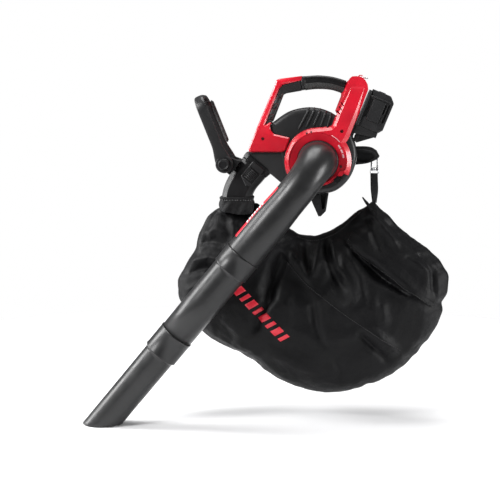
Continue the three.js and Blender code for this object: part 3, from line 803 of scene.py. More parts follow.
def weave(name, colour, pitch, depth, roughness=0.72, sheen=0.4, crumple=0.0, shine=0.2):
    """Woven cloth: warp and weft threads over soft creases, with dusty tops."""
    s = Shader(name)
    parts = s.node("ShaderNodeSeparateXYZ", {"Vector": s.where}).outputs
    turns = 2 * math.pi / (pitch * MM)
    up = s.maths("SINE", s.maths("MULTIPLY", parts["Z"], turns))
    along = s.maths("SINE", s.maths("MULTIPLY", s.maths("ADD", parts["X"], parts["Y"]), turns))
    threads = s.maths("MULTIPLY", up, along)
    fine = s.noise(1400, 2)
    faded = s.remap(s.noise(9, 5, 0.6), 0.35, 0.7, 0.0, 1.0)
    tone = s.mix(faded, times(colour, 0.8), times(colour, 1.35))
    cloth = s.bump(s.maths("ADD", threads, fine), depth, 0.7)
    if crumple:
        cloth = s.bump(s.noise(22, 5, 0.55), crumple, 1.0, cloth)
        cloth = s.bump(s.noise(75, 4, 0.5, s.stretch(1, 1, 0.4)), crumple * 0.3, 0.8, cloth)
    s.set(
        base_color=s.mix(s.remap(threads, -1, 1, 0.0, 0.35), tone, grey(0.0)),
        roughness=s.remap(s.noise(30, 4), 0.3, 0.7, roughness - 0.08, roughness + 0.1),
        sheen_weight=sheen, sheen_roughness=0.45, sheen_tint=grey(0.55, 1.05), specular_ior_level=shine,
        normal=cloth,
    )
    return s.material


def board_material():
    """Circuit board: solder mask over faint tracks."""
    s = Shader("board")
    tracks = s.remap(s.cells(420, feature="DISTANCE_TO_EDGE"), 0.02, 0.06, 1.0, 0.0)
    s.set(base_color=s.mix(tracks, (0.01, 0.07, 0.025, 1), (0.03, 0.2, 0.07, 1)), roughness=0.35)
    s.set(normal=s.bump(tracks, 0.1))
    return s.material


def print_material(name, colour):
    """Pad-printed ink, slightly broken up where it has rubbed off."""
    s = Shader(name)
    worn = s.remap(s.noise(700, 4), 0.3, 0.42, 0.0, 1.0)
    s.set(
        base_color=s.mix(worn, times(colour, 0.55), colour),
        roughness=s.remap(s.noise(90), 0.3, 0.7, 0.35, 0.5),
    )
    return s.material


# The fifth value of each plastic is its lighter edge colour: partly rubbed wear, partly painted highlight.
RED = plastic("red_gloss", (0.58, 0.004, 0.019, 1), 0.34, 900, 0.05, (0.95, 0.08, 0.12, 1), 0.2, 0.35, 0.9)
CHARCOAL = plastic("charcoal", grey(0.020, 1.04), 0.34, 1300, 0.10, grey(0.05), 0.3, 0.0, 0.9, 0.28)
TUBE = plastic("tube_satin", grey(0.014, 1.04), 0.35, 1500, 0.04, grey(0.03), 0.15, 0.05, 0.5, 0.36)
BLACK = plastic("black_matt", grey(0.010, 1.06), 0.36, 1100, 0.12, grey(0.03), 0.3, 0.0, 0.9, 0.24)
# DARK also lines the cut walls of slots and vents as painted shade.
DARK = plastic("black_deep", grey(0.006, 1.05), 0.55, 1100, 0.1, grey(0.02), 0.3)
FAN_PLASTIC = plastic("fan_plastic", grey(0.05), 0.42, 900, 0.1, grey(0.16), 0.6)
GRIP = rubber("grip_rubber", grey(0.022), 620, 0.25)
PAD = rubber("pad_rubber", grey(0.03), 170, 0.6)
BAG = weave("bag_cloth", grey(0.0022, 1.25), 0.9, 0.05, 0.50, 0.02, 3.2, 0.17)
CUFF = weave("cuff_cloth", grey(0.008, 1.1), 1.2, 0.12, 0.6, 0.1, 1.6)
WEBBING = weave("webbing", grey(0.007, 1.1), 1.6, 0.3, 0.65, 0.08)
THREAD = weave("thread", grey(0.10), 0.5, 0.1, 0.6, 0.1)
WHITE_THREAD = weave("white_thread", grey(0.42), 0.5, 0.1, 0.6, 0.1)
STEEL = metal("steel", (0.52, 0.52, 0.54, 1), 0.35)
CHROME = metal("chrome", (0.62, 0.63, 0.65, 1), 0.26, 600, 0.06)
COPPER = metal("copper", (0.75, 0.36, 0.18, 1), 0.3)
SCREW_STEEL = metal("screw_steel", (0.16, 0.05, 0.05, 1), 0.4)
BOARD = board_material()
CUT = bpy.data.materials.new("cut")
WHITE_INK = print_material("white_ink", (0.85, 0.83, 0.84, 1))
RED_INK = print_material("red_ink", (0.62, 0.012, 0.03, 1))
PINK_INK = print_material("pink_ink", (0.80, 0.42, 0.46, 1))
DIM_RED = print_material("dim_red", (0.07, 0.008, 0.010, 1))


# ---------- studio ----------
FLOOR_RADIUS = 1.5  # metres
SURROUND = 0.14  # strength of the light from all round
AZIMUTH, ELEVATION = 6.0, 7.0  # degrees
DISTANCE, LENS = 2.53, 80.0  # metres, mm


def studio():
    """A pale round floor, four soft boxes and a dim surround that the camera sees as white."""
    middle = (cad_low + cad_high) / 2
    rim = [(middle.x + FLOOR_RADIUS * math.cos(t), middle.y + FLOOR_RADIUS * math.sin(t), cad_low.z - 0.0005)
           for t in (math.tau * i / 96 for i in range(96))]
    s = Shader("studio_floor")
    s.set(base_color=s.mix(s.noise(2.0), (0.86, 0.86, 0.87, 1), (0.90, 0.90, 0.905, 1)), roughness=0.75)
    new_piece("studio_floor", rim, [tuple(range(96))], s.material, None)

    world = bpy.data.worlds.new("surround")
    bpy.context.scene.world = world
    world.use_nodes = True
    nodes, links = world.node_tree.nodes, world.node_tree.links
    seen = nodes.new("ShaderNodeLightPath").outputs["Is Camera Ray"]
    strength = nodes.new("ShaderNodeMapRange")
    strength.inputs["To Min"].default_value = SURROUND
    strength.inputs["To Max"].default_value = 1.0
    links.new(seen, strength.inputs["Value"])
    links.new(strength.outputs["Result"], nodes["Background"].inputs["Strength"])
    nodes["Background"].inputs["Color"].default_value = (1.0, 1.0, 1.0, 1)
    soft_box("key", (-2.0, -1.7, 1.7), middle, 0.9, 1.2, 90)
    soft_box("side", (-2.3, 0.1, 0.75), middle, 0.8, 2.0, 80)
    soft_box("fill", (2.4, -0.5, 0.3), middle, 0.9, 1.2, 50)
    soft_box("top", (0.0, 0.3, 2.4), middle, 1.6, 1.6, 60)


def soft_box(name, offset, target, width, height, power):
    data = bpy.data.lights.new(name, "AREA")
    data.shape = "RECTANGLE"
    data.size, data.size_y = width, height
    data.energy = power
    light = bpy.data.objects.new(name, data)
    bpy.context.scene.collection.objects.link(light)
    light.location = target + Vector(offset)
    light.rotation_mode = "QUATERNION"
    light.rotation_quaternion = (-Vector(offset)).to_track_quat("-Z", "Y")


def camera():
    az, el = math.radians(AZIMUTH), math.radians(ELEVATION)
    forward = Vector((-math.sin(az) * math.cos(el), math.cos(az) * math.cos(el), -math.sin(el)))
    aim = (cad_low + cad_high) / 2 + Vector((-0.032, -0.026, 0.0))
    data = bpy.data.cameras.new("camera")
    data.lens, data.sensor_width = LENS, 36.0
    made = bpy.data.objects.new("camera", data)
    bpy.context.scene.collection.objects.link(made)
    made.location = aim - forward * DISTANCE
    made.rotation_mode = "QUATERNION"
    made.rotation_quaternion = forward.to_track_quat("-Z", "Y")
    bpy.context.scene.camera = made
    bpy.context.scene.view_settings.view_transform = "Standard"


# ---------- red shells ----------
RING_R = -low("body_shell_near").x
RING_BORE = high("tube_lock_collar").x + 0.6
RING_BAND = -low("body_shell_near").z  # radius of the narrow lower part of the ring
RING_FRONT = low("body_shell_near").y
HOUSING_FRONT = low("scroll_housing_near").y
RIM_FACET = 9.5
SPINE_LEAN = (62.0, high("spine_screw").z + 118, 12.0)
POST_LEAN = (62.0, 150.0, 22.0)


def leaning(lean):
    """How far a side leans in at a height, from (low, high, distance)."""
    start, end, distance = lean
    return lambda x, z: distance * clamp((z - start) / (end - start))


def ring_share(x, z):
    """The narrow lower band of the ring carries a narrower facet than the rest of the plate."""
    return 0.28 if math.hypot(x, z) < RING_BAND + 1 and z < 0 else 1.0


SPINE_RIGHT = [rail(72, 44.5), rail(135, 44.5)]
SPINE_CAP = [(111, 160), (109.5, 171), (104, 181), (95.5, 187.5),
             (84, 189.5), (75, 189), (69, 184), (66.5, 176)]
SPINE_LEFT = [(58.5, 150), (38, 100)]
# the outer edge of the spine's left facet
SPINE_SIDE = [(60.5, 176), (50, 154), (49.5, 146), (42.5, 128), (37, 113), (46, 98)]
RING_STEP = 64.0  # outer radius of the dished inner band


def red_plate():
    """The ring round the intake and the spine that grows out of it, as one faceted plate."""
    into_ring = fillet([(38, 100), (30.5, 79.2, 7), polar(90, RING_R)], 2, 10)[11:22]
    outline = arc(-25, 34, RING_R) + SPINE_RIGHT + SPINE_CAP + SPINE_LEFT + into_ring
    outline += arc(90, 205, RING_R) + arc(207, 333, RING_BAND)
    back = HOUSING_FRONT - GAP
    dish_width = RING_STEP - RING_BORE
    dish = [(0, back), (0, RING_FRONT + 5), (1.0, RING_FRONT + 3.4),
            (dish_width - 1.2, RING_FRONT + 1.2), (dish_width, RING_FRONT)]
    plate = moulding(
        "red_plate_near", outline, [(0, back), (0, back - 1.4), (RIM_FACET, RING_FRONT)],
        RED, holes=[(arc(0, 357, RING_BORE), dish)], scale=ring_share, shift=leaning(SPINE_LEAN),
        cuts=[62, 95, 125, 155], hole_scale=lambda x, z: lerp(0.24, 1.0, smooth(-32, -22, z)),
    )
    cutters = [screw_well(node) for node in ("spine_screw", "ring_screw")]
    cutters.append(latch_well())
    carve(plate, *cutters)
    # The vent slots' walls take the darkest black as painted shade.
    carve(plate, *(vent_cutter(i) for i in range(3)), shade_lining=DARK)
    bevel(plate, 1.0, 3, 20)
    finish(plate, "red_shell", "body_shell_near")

    body = moulding(
        "red_spine_near", [(50, 70)] + SPINE_RIGHT + SPINE_CAP[:-1] + SPINE_SIDE,
        [(0, -0.2), (0, -15), (7.5, back - 0.1), (8.5, back - 0.5)], RED,
        scale=lambda x, z: 1.0 if (x, z) in SPINE_SIDE else 0.05, shift=leaning((62, SPINE_LEAN[1], 11.0)),
    )
    inside = [rail(118, 6), rail(100, 39), rail(170, 39), rail(170, 6)]
    carve(body, housing_room(), cutter(inside, [(0, 5), (0, -25), (0, -26)]))
    # The vent slots' walls take the darkest black as painted shade.
    carve(body, *(vent_cutter(i) for i in range(3)), shade_lining=DARK)
    finish(bevel(body, 0.8, 2, 30), "red_shell")


def housing_room(back=60):
    """A cutter that keeps a piece off the fan housing, from its front face to a y behind it."""
    outline = inset(refine(cap_outline("scroll_housing_near", -1)), -0.5)
    return cutter(outline, [(0, back), (0, HOUSING_FRONT), (0, HOUSING_FRONT - 0.3)])


def screw_well(node):
    """A round well just larger than the screw head that sits in it."""
    centre = (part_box(node)[0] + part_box(node)[1]) / 2
    radius = (high(node).x - low(node).x) / 2 + 0.5
    depth = (high(node).y - low(node).y) / 2 + 0.6
    profile = [(0, -12), (radius + 0.9, -12), (radius, depth), (0, depth)]
    return lathe("cutter", profile, centre, CUT, segments=32)


def latch_well():
    lo, hi = low("tube_latch"), high("tube_latch")
    centre = ((lo.x + hi.x) / 2, (lo.z + hi.z) / 2)
    outline = [polar(2 + 90 * k, 10.6, centre) for k in range(4)]
    return cutter(fillet(outline, 1.5), [(0, -30), (0, -58), (0, -60)])


def vent_cutter(i):
    """One of the three slanted air slots in the spine's left facet."""
    x, z = 45.5 + 4.0 * i, 109 + 9.3 * i
    path = [place(x + t * 3.4, -30, z - t * 4.4) for t in (-1.0, 1.0)]
    return sweep("cutter", path, superellipse(1.35, 14.0, 4, 16), CUT, side=Y_AXIS)


FOOT = [(-101, 61, 12), (-63, 52.5, 3), (-72, 26, 6), (-80.5, 20, 4), (-156, 20, 6), (-157.5, 28, 5)]
POST_OUTSIDE = [(-96, 181.5, 5), (-91, 184.5, 8), (-38, 191, 1)]
POST_INSIDE = [(-40, 181.3, 1), (-82.5, 171.5, 6), (-89.5, 163.5, 6), (-121, 80, 1), (-106.5, 88.5, 2),
               (-107.5, 70, 10)]


def red_post(side):
    """One half of the front post with its foot."""
    node = sided("front_post", side)
    face = low(node).y if side < 0 else high(node).y
    piece = moulding(
        sided("red_post", side), fillet(FOOT + POST_OUTSIDE + POST_INSIDE),
        [(0, side * 0.2), (0, face - side * 3.4), (3.2, face)],
        RED, shift=leaning(POST_LEAN), cuts=[62, 84, 106, 128, 150],
    )
    cutters = [housing_room(-HOUSING_FRONT + 0.3)]
    if side < 0:
        cutters.append(screw_well("foot_screw"))
    carve(piece, *cutters)
    bevel(piece, 0.8, 3, 24)
    finish(piece, "red_shell", node)


# ---------- fan housing ----------
def housing(side):
    """One half of the snail-shaped fan housing, with round shoulders, open at the middle plane."""
    node = sided("scroll_housing", side)
    outline = fillet(refine(cap_outline(node, side)), 2.0, 4)
    face = side * -HOUSING_FRONT
    bore = 41.0 if side < 0 else 12.0
    piece = moulding(
        sided("housing", side), outline,
        [(0, side * 0.2), (0, face - side * 14), (0.6, face - side * 9), (2.2, face - side * 5.0),
         (4.8, face - side * 2.2), (8.0, face - side * 0.6), (11.5, face), (13, face)],
        CHARCOAL, holes=[arc(0, 355, bore, step=5)], backless=True,
    )
    weighted(solidify(piece, 2.4))
    finish(piece, "charcoal_plastic", node)


def dome_ribs():
    """Five slanted ridges that run from the ring over the shoulder of the housing."""
    outline = refine(cap_outline("scroll_housing_near", -1))
    pieces = []
    for i in range(5):
        top_x = lerp(-19, 30, i / 4)
        slope = lerp(0.52, 0.30, i / 4)
        rim_z = max(z for x, z in outline if abs(x - top_x) < 4.5)
        foot_z = math.sqrt(max(0.0, (RING_R + 3.5) ** 2 - (top_x - slope * 25) ** 2)) - 2
        keys = []
        for depth, y in ((1.4, -27.0), (3.4, -31.6), (6.8, -34.6), (11, -36.0)):
            keys.append(place(top_x - slope * depth, y, rim_z - depth))
        drop = rim_z - 11 - foot_z
        for k in range(1, 5):
            keys.append(place(top_x - slope * (11 + drop * k / 4), -36.0, rim_z - 11 - drop * k / 4))
        path = spline(keys, 4)

        def section(share):
            swell = smooth(0, 0.12, share) * smooth(1.0, 0.9, share)
            return superellipse(3.5 * lerp(0.6, 1, swell), 2.0 * lerp(0.2, 1, swell), 2.4, 20)

        pieces.append(sweep(f"rib_{i}", path, section, CHARCOAL, side=Vector((1, 0, 0.4))))
    joined("housing_ribs", "charcoal_plastic", pieces)


# ---------- suction tube ----------
WALL = 2.6  # thickness of the upper tube
COUNT_ROUND = 96  # points round a tube


def tube_axis_point(s):
    """A point of the suction tube's axis, s mm down from where it passes the fan."""
    lo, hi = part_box("middle_tube")
    middle = (lo + hi) / 2
    along = (middle - FAN).dot(DOWN) / MM
    return middle + DOWN * ((s - along) * MM)


def ring_at(centre, direction, radius):
    return section_ring(circle(radius, COUNT_ROUND), centre, direction, UP_DUCT)


def tube_rings(profile):
    return [ring_at(tube_axis_point(s), DOWN, r) for s, r in profile]


def tube_piece(name, rings, node, body):
    """A tube with its wall, from rings that run down its outside and back up its inside."""
    piece = skinned(name, rings, TUBE, body, closed="both", caps=False)
    finish(piece, "tube_plastic", node)


def tubes():
    top, middle_end = span("middle_tube", DOWN)
    nozzle_top = span("nozzle_tube", DOWN)[0]
    seat = top + 45
    upper_tube(top, span("intake_elbow_tube", DOWN)[1])
    outside = [(top + 0.2, 40.8), (top + 0.3, 42.2), (top + 1.2, 42.7), (top + 3.4, 42.7), (top + 4.6, 42.1),
               (seat - 3.0, 42.0), (seat - 1.8, 42.6), (seat + 0.4, 42.5), (seat + 1.6, 41.0),
               (seat + 3.6, 39.7), (seat + 8, 39.5), (seat + 90, 39.1),
               (nozzle_top - 0.6, 38.7), (nozzle_top - 0.2, 37.7),
               (middle_end - 0.8, 37.6), (middle_end, 37.0)]
    inside = [(middle_end, 35.2), (seat + 1, 37.0), (seat - 2, 40.1), (top + 0.2, 40.2)]
    tube_piece("tube_middle", tube_rings(outside + inside), "middle_tube", "middle_tube")
    nozzle(nozzle_top, nozzle_top + 58)


def upper_tube_radius(s):
    """The upper tube's outer radius s mm down its axis: it widens towards its socket."""
    return lerp(38.7, 41.2, smooth(100, 170, s))


def upper_tube(socket, end):
    """The intake elbow that turns into the upper tube, with the flange at its mouth."""
    mouth_y = high("intake_elbow_tube").y
    bend_end = tube_axis_point(92)
    bend = bezier(place(0, -58, 0), place(0, -100, 0), bend_end - DOWN * 0.052, bend_end, 28)
    mouth = [(0, 37.4), (0.3, 39.4), (13.2, 39.8), (13.4, 43.6), (14.2, 44.4), (18.5, 44.4), (19.6, 43.6)]
    rings = [ring_at(place(0, mouth_y - depth, 0), -Y_AXIS, radius) for depth, radius in mouth]
    inner = []
    for i, p in enumerate(bend):
        t = i / (len(bend) - 1)
        ahead = heading(bend, i)
        radius = lerp(43.2, 38.6, smooth(0, 0.75, t))
        rings.append(ring_at(p, ahead, radius))
        inner.append(ring_at(p, ahead, radius - WALL))
    straight = [(s, upper_tube_radius(s)) for s in (110, 130, 150, 175)]
    straight += [(socket - 2.2, 41.3), (socket - 0.7, 41.0), (socket - 0.2, 39.6)]
    straight += [(end - 1, 39.5), (end, 38.6)]
    rings += tube_rings(straight)
    rings += tube_rings([(end, 36.9), (150, 37.4), (110, 36.2)])
    rings += inner[::-1]
    rings.append(ring_at(place(0, mouth_y - 13, 0), -Y_AXIS, 37.4))
    tube_piece("tube_upper", rings, "intake_elbow_tube", "suction_tube")


def nozzle(top, seat):
    """The nozzle, from its socket's top and seat to the level mouth with a slightly waved edge."""
    outside = [(top + 0.2, 39.0), (top + 0.3, 40.2), (top + 1.2, 40.7), (top + 3.2, 40.6), (top + 4.4, 40.1),
               (seat - 3.2, 40.0), (seat - 2.0, 40.6), (seat, 40.5), (seat + 1.2, 38.8), (seat + 3.4, 36.9),
               (seat + 9, 36.4)]
    straight = [(s, 36.3 - 0.0025 * (s - seat)) for s in range(int(seat) + 20, 700, 16)]
    rings = tube_rings(outside + straight)
    mouth = low("nozzle_tube").z

    def end_ring(radius, lift):
        """A level cut through the tube, as points along its side lines."""
        template = ring_at(tube_axis_point(700), DOWN, radius)
        made = []
        for p in template:
            wave = 1.1 * math.sin((p.x - FAN.x) / MM * 0.13) + lift
            made.append(p + DOWN * ((p.z - FAN.z - (mouth + 1.2 + wave) * MM) / -DOWN.z))
        return made

    start = rings[-1]
    tip = end_ring(35.9, 0.6)
    for k in range(1, 9):
        rings.append([a.lerp(b, k / 9) for a, b in zip(start, tip)])
    rings += [tip, end_ring(35.2, -0.6), end_ring(34.0, -0.6), end_ring(33.4, 0.6)]
    rings += tube_rings([(690, 33.5), (seat + 4, 34.0), (seat - 2, 37.6), (top + 0.2, 38.2)])
    tube_piece("tube_nozzle", rings, "nozzle_tube", "nozzle")


def lock_collar():
    """The plain collar that turns to lock the tube."""
    lo, hi = low("tube_lock_collar"), high("tube_lock_collar")
    radius = hi.x
    profile = [(40.6, hi.y), (radius - 0.8, hi.y), (radius, hi.y - 0.8), (radius, lo.y + 1.2),
               (radius - 1.2, lo.y), (41.8, lo.y), (40.6, lo.y + 0.8), (40.6, hi.y)]
    collar = lathe("lock_collar_ring", profile, place(0, 0, 0), CHARCOAL, "lock_collar", segments=96)
    finish(collar, "charcoal_plastic", "tube_lock_collar")


# ---------- handle frame, grip and trigger ----------
def post_panel(side):
    """The dark inset panel of the front post, with three embossed windows on its face."""
    half = -low("handle_frame_near").y
    corners = [(-119.8, 82, 1), (-106.0, 89.6, 2), (-81.4, 149.5, 4), (-74.9, 152.5, 3), (-40.4, 158.4, 1),
               (-40.4, 180.8, 2), (-81.8, 170.9, 4), (-88.6, 163, 4)]
    panel = moulding(
        sided("post_panel", side), fillet(corners),
        [(0, side * 0.2), (0, side * (half - 1.4)), (1.4, side * half)],
        CHARCOAL, shift=leaning(POST_LEAN), cuts=[84, 106, 128, 150],
    )
    carve(panel, housing_room(-HOUSING_FRONT + 0.3))
    bevel(panel, 0.6, 2, 26)
    finish(panel, "charcoal_plastic")
    if side < 0:
        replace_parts(panel, "handle_frame_near", "handle_frame_far")
        windows(half)


def windows(half):
    """Three embossed windows down the panel, each with a thin red line round its recess."""
    pieces = []
    for i in range(3):
        x, z = lerp(-108.5, -88.5, i / 2), lerp(98.0, 146.0, i / 2)
        y = -half + leaning(POST_LEAN)(x, z) - 0.1
        corners = [(x - 7.5, z - 7, 2), (x + 3.0, z - 6.5, 2), (x + 8.0, z + 7, 2), (x - 2.5, z + 6.5, 2)]
        outline = fillet(corners, 2)
        tilt = POST_LEAN[2] / (POST_LEAN[1] - POST_LEAN[0])
        ring = [place(px, y + (pz - z) * tilt, pz) for px, pz in outline]
        rim = sweep(f"window_{i}", ring, superellipse(0.5, 0.5, 2.2, 10), DIM_RED, closed=True)
        inner = inset(outline, 1.4)
        slab = [place(px, y + (pz - z) * tilt - 0.25, pz) for px, pz in inner]
        back = [place(px, y + (pz - z) * tilt + 0.6, pz) for px, pz in inner]
        cover = skinned(f"window_cover_{i}", [back, slab], DARK)
        bar_path = [place(x - 4 + 2.2 * k, y - 0.3 + 3.5 * k * tilt, z - 4 + 3.5 * k) for k in (0, 2.4)]
        strut = sweep(f"window_bar_{i}", bar_path, superellipse(1.0, 0.5, 3, 10), CHARCOAL)
        pieces += [rim, cover, strut]
    joined("post_windows", "charcoal_plastic", pieces)


GRIP_TOP = [(-40, 190.2), (-22, 191.6), (0, 192.5), (26, 190), (46, 185.2), (62, 180)]
GRIP_UNDER = [(-40, 158.5), (-22, 160.8), (0, 162.2), (26, 160.3), (46, 154.5), (57, 150)]


def grip():
    """The top handle: a rounded bar with a smooth crown band and pimpled rubber sides."""
    top = spline([place(x, 0, z) for x, z in GRIP_TOP], 6)
    under = spline([place(x, 0, z) for x, z in GRIP_UNDER], 6)
    half = high("grip_rubber").y

    def bar(name, grow, share_low, share_high, material, power, reach=(0, 1)):
        rings = []
        count = len(top)
        for i in range(round(reach[0] * (count - 1)), round(reach[1] * (count - 1)) + 1):
            a, b = top[i], under[i]
            up = (a - b).normalized()
            centre = b.lerp(a, (share_low + share_high) / 2)
            tall = (a - b).length / MM * (share_high - share_low) / 2
            rings.append(ring_of(superellipse(half + grow, tall + grow, power, 44), centre, Y_AXIS, up))
        return skinned(name, rings, material)

    core = bar("grip_core", -0.6, 0.0, 0.985, BLACK, 2.9)
    crown = bar("grip_crown", 0.0, 0.70, 1.0, BLACK, 2.6, (0.04, 1.0))
    sides = bar("grip_sides", 0.25, -0.02, 0.60, GRIP, 3.0, (0.10, 1.0))
    start = bar("grip_cuff", 0.5, 0.02, 0.99, CHARCOAL, 3.2, (0.0, 0.12))
    for piece in (core, crown, sides, start):
        subdivide(piece)
    weld_trigger_room(core, sides)
    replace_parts(crown, "grip_rubber")
    for piece in (crown, sides):
        finish(piece, "grip_rubber")
    for piece in (core, start):
        finish(piece, "charcoal_plastic")


def weld_trigger_room(*pieces):
    """Leaves room for the trigger in the underside of the grip."""
    lo, hi = low("trigger"), high("trigger")
    for piece in pieces:
        corners = [(lo.x - 1.5, 140), (hi.x + 1, 140), (hi.x + 1, hi.z - 4), (lo.x - 1.5, hi.z + 1)]
        carve(piece, cutter(corners, [(0, hi.y + 0.8), (0, lo.y - 0.7), (0, lo.y - 0.8)]))


def trigger():
    """The trigger with a smooth, finger-worn face."""
    lo, hi = low("trigger"), high("trigger")
    outline = fillet(cap_outline("trigger", -1), 3.0, 5)
    piece = moulding(
        "trigger_lever", outline,
        [(1.6, hi.y), (0.4, hi.y - 0.8), (0, hi.y - 2.2), (0, lo.y + 2.2), (0.4, lo.y + 0.8), (1.6, lo.y)],
        BLACK, body="trigger",
    )
    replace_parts(weighted(piece), "trigger")
    finish(piece, "black_plastic")


# ---------- outlet elbow ----------
ELBOW_HALF = high("outlet_elbow").y
ELBOW_END = low("outlet_elbow").z
ELBOW_X = low("outlet_elbow").x + ELBOW_HALF
ELBOW_N = 102.1  # middle of the outlet, square to the duct
ELBOW_S = 93.0


def elbow_path():
    """The middle of the outlet elbow, from the housing to the bag."""
    a = in_duct(ELBOW_S, ELBOW_N)
    b = in_duct(124, ELBOW_N)
    c = place(ELBOW_X, 0, -60)
    d = place(ELBOW_X, 0, ELBOW_END + 10)
    path = [a.lerp(b, k / 8) for k in range(8)]
    for t in (i / 26 for i in range(27)):
        path.append(b * (1 - t) ** 2 + c * 2 * t * (1 - t) + d * t * t)
    path.append(place(ELBOW_X, 0, ELBOW_END))
    return path


def box_section(half_u, half_v, chamfer, round_off=1.6):
    """A square section with cut corners, each of them slightly rounded."""
    a, b, c = half_u, half_v, chamfer
    corners = [(a, -b + c), (a, b - c), (a - c, b), (-a + c, b)]
    corners += [(-u, -v) for u, v in corners]
    return fillet(corners, round_off, 3)


def outlet_elbow():
    """The elbow that blows into the bag, with its flange, its joint and the framed release button."""
    path = elbow_path()
    half = ELBOW_HALF
    elbow = sweep("elbow_body", path, box_section(half - 0.4, half - 0.4, 12.5, 4.0), BLACK, caps=False)
    solidify(elbow, 2.4)
    finish(elbow, "black_plastic", "outlet_elbow")

    def sleeve(name, start, end, grow):
        a, b = (in_duct(s, ELBOW_N) for s in (start, end))
        edge = grow - 0.8
        places = [(a, edge), (a.lerp(b, 0.06), grow), (a.lerp(b, 0.94), grow), (b, edge)]
        rings = [section_ring(box_section(half + g, half + g, 10), p, DOWN) for p, g in places]
        rings += [section_ring(box_section(half - 1.2, half - 1.2, 9), p, DOWN) for p in (b, a)]
        piece = skinned(name, rings, BLACK, closed="both", caps=False)
        finish(weighted(piece), "black_plastic")

    sleeve("outlet_flange", 88.5, 100.0, 2.6)
    sleeve("outlet_joint", 101.0, 106.5, 1.4)
    release_button()


def duct_patch(s_range, n_range):
    (s0, s1), (n0, n1) = s_range, n_range
    return [duct(s0, n0), duct(s0, n1), duct(s1, n1), duct(s1, n0)]


def release_button():
    """The ribbed outlet button in its raised frame, which comes to a point below the button."""
    face = low("outlet_release_button").y
    frame_outer = [duct(93, 80.5), duct(93, 112.5), duct(137, 113.5), duct(148.5, 90.0), duct(141, 80.5)]
    frame_inner = [duct(106.6, 82.2), duct(106.6, 109.6), duct(135.8, 109.6), duct(135.8, 82.2)]
    ring = moulding(
        "button_frame", fillet(frame_outer, 2.5),
        [(0, -ELBOW_HALF + 1.2), (0, face + 1.6), (1.4, face + 0.3)], CHARCOAL,
        holes=[fillet(frame_inner, 1.5)],
    )
    finish(bevel(ring, 0.5, 2, 30), "black_plastic")
    plate = moulding(
        "outlet_button_cap", fillet(duct_patch((108, 134.6), (83.2, 108.6)), 2.0),
        [(0, face + 2.0), (0, face + 0.9), (0.9, face + 0.2)], BLACK, body="outlet_button",
    )
    ribs = []
    for i in range(6):
        s = lerp(111, 131.4, i / 5)
        path = [in_duct(s, n, face + 0.1) for n in (86.6, 105.2)]
        section = superellipse(0.9, 1.1, 2.4, 12)
        ribs.append(sweep(f"button_rib_{i}", path, section, CHARCOAL, "outlet_button"))
    bevel(plate, 0.4, 2, 30)
    cap = join([plate] + ribs)
    finish(cap, "black_plastic", "outlet_release_button")


# ---------- front handle ----------
ARM_HALF_GAP = 46.0
ARM_OUTER = -low("front_handle").y
ARM_MIDDLE = (ARM_HALF_GAP + ARM_OUTER) / 2
ARM_HALF_WIDTH = 11.4
ARM_LEAN = math.radians(112)
ARM_UP = Vector((math.cos(ARM_LEAN), 0, math.sin(ARM_LEAN)))
ARM_ACROSS = Vector((math.sin(ARM_LEAN), 0, -math.cos(ARM_LEAN)))  # towards the machine
ARM_REACH = ((high("front_handle").z * MM + FAN.z) - PIVOT.z) / MM / math.sin(ARM_LEAN) - 6.0


def on_arm(y, rise):
    """A place on the handle's middle surface, from its pivot."""
    return PIVOT + ARM_UP * (rise * MM) + Vector((0, y * MM, 0))


def front_handle():
    """The U-shaped front handle: two arms that taper up from round bosses into a bent cross bar."""
    corner = 30.0
    path = [on_arm(-ARM_MIDDLE, rise) for rise in (4, 18, 34, 52, 72, 92, ARM_REACH - corner - 4)]
    path += [
        on_arm(-ARM_MIDDLE + corner - corner * math.cos(t), ARM_REACH - corner + corner * math.sin(t))
        for t in (math.pi / 2 * k / 9 for k in range(10))
    ]
    path += [on_arm(y, ARM_REACH) for y in (-10, 10)]
    path += [Vector((p.x, 2 * PIVOT.y - p.y, p.z)) for p in path[::-1]]
    dense = spline(path, 3)
    rings = []
    for i, p in enumerate(dense):
        rise = (p - PIVOT).dot(ARM_UP) / MM
        width = lerp(18.0, ARM_HALF_WIDTH, smooth(5, 50, rise))
        thick = lerp(4.4, 5.6, smooth(ARM_REACH - 60, ARM_REACH, rise))
        inward = ARM_ACROSS.cross(heading(dense, i).normalized())
        rings.append(ring_of(superellipse(width, thick, 3.0, 36), p, ARM_ACROSS, inward))
    handle = skinned("front_handle_bow", rings, CHARCOAL, "front_handle")
    bow = join([handle] + [handle_boss(side) for side in (-1, 1)])
    finish(weighted(bow), "charcoal_plastic", "front_handle")
    finish(handle_pad(1, 6.6, 4.4, PAD), "grip_rubber", "front_handle_pad")
    finish(handle_pad(-1, 0.8, 3.0, CHARCOAL), "charcoal_plastic")
    knob()


def handle_boss(side):
    """The round boss at the foot of an arm, dished on its outer face."""
    inner, outer = side * ARM_HALF_GAP, side * (ARM_OUTER - 0.2)
    dish = outer - side * 1.0
    profile = [(4.4, inner), (19.2, inner), (20.0, inner + side * 0.8), (20.0, outer - side * 1.4),
               (18.6, outer), (15.4, outer), (14.6, dish), (4.4, dish), (4.4, inner)]
    return lathe(f"handle_boss_{side}", profile, PIVOT, CHARCOAL, "front_handle", segments=72)


def handle_pad(side, edge, thick, material):
    """A long pad on the inner edge of an arm. edge is how far it stands out."""
    rows = []
    for k in range(25):
        rise = lerp(46, ARM_REACH - 9, k / 24)
        ends = smooth(0, 0.05, k / 24) * smooth(1, 0.95, k / 24)
        oval = superellipse((edge / 2 + 1.0) * ends + 0.2, thick * ends + 0.2, 3.0, 18)
        rows.append([
            on_arm(side * ARM_MIDDLE + v, rise) + ARM_ACROSS * ((ARM_HALF_WIDTH + edge / 2 - 1.0 + u) * MM)
            for u, v in oval
        ])
    return skinned(sided("handle_pad", side), rows, material, "front_handle")


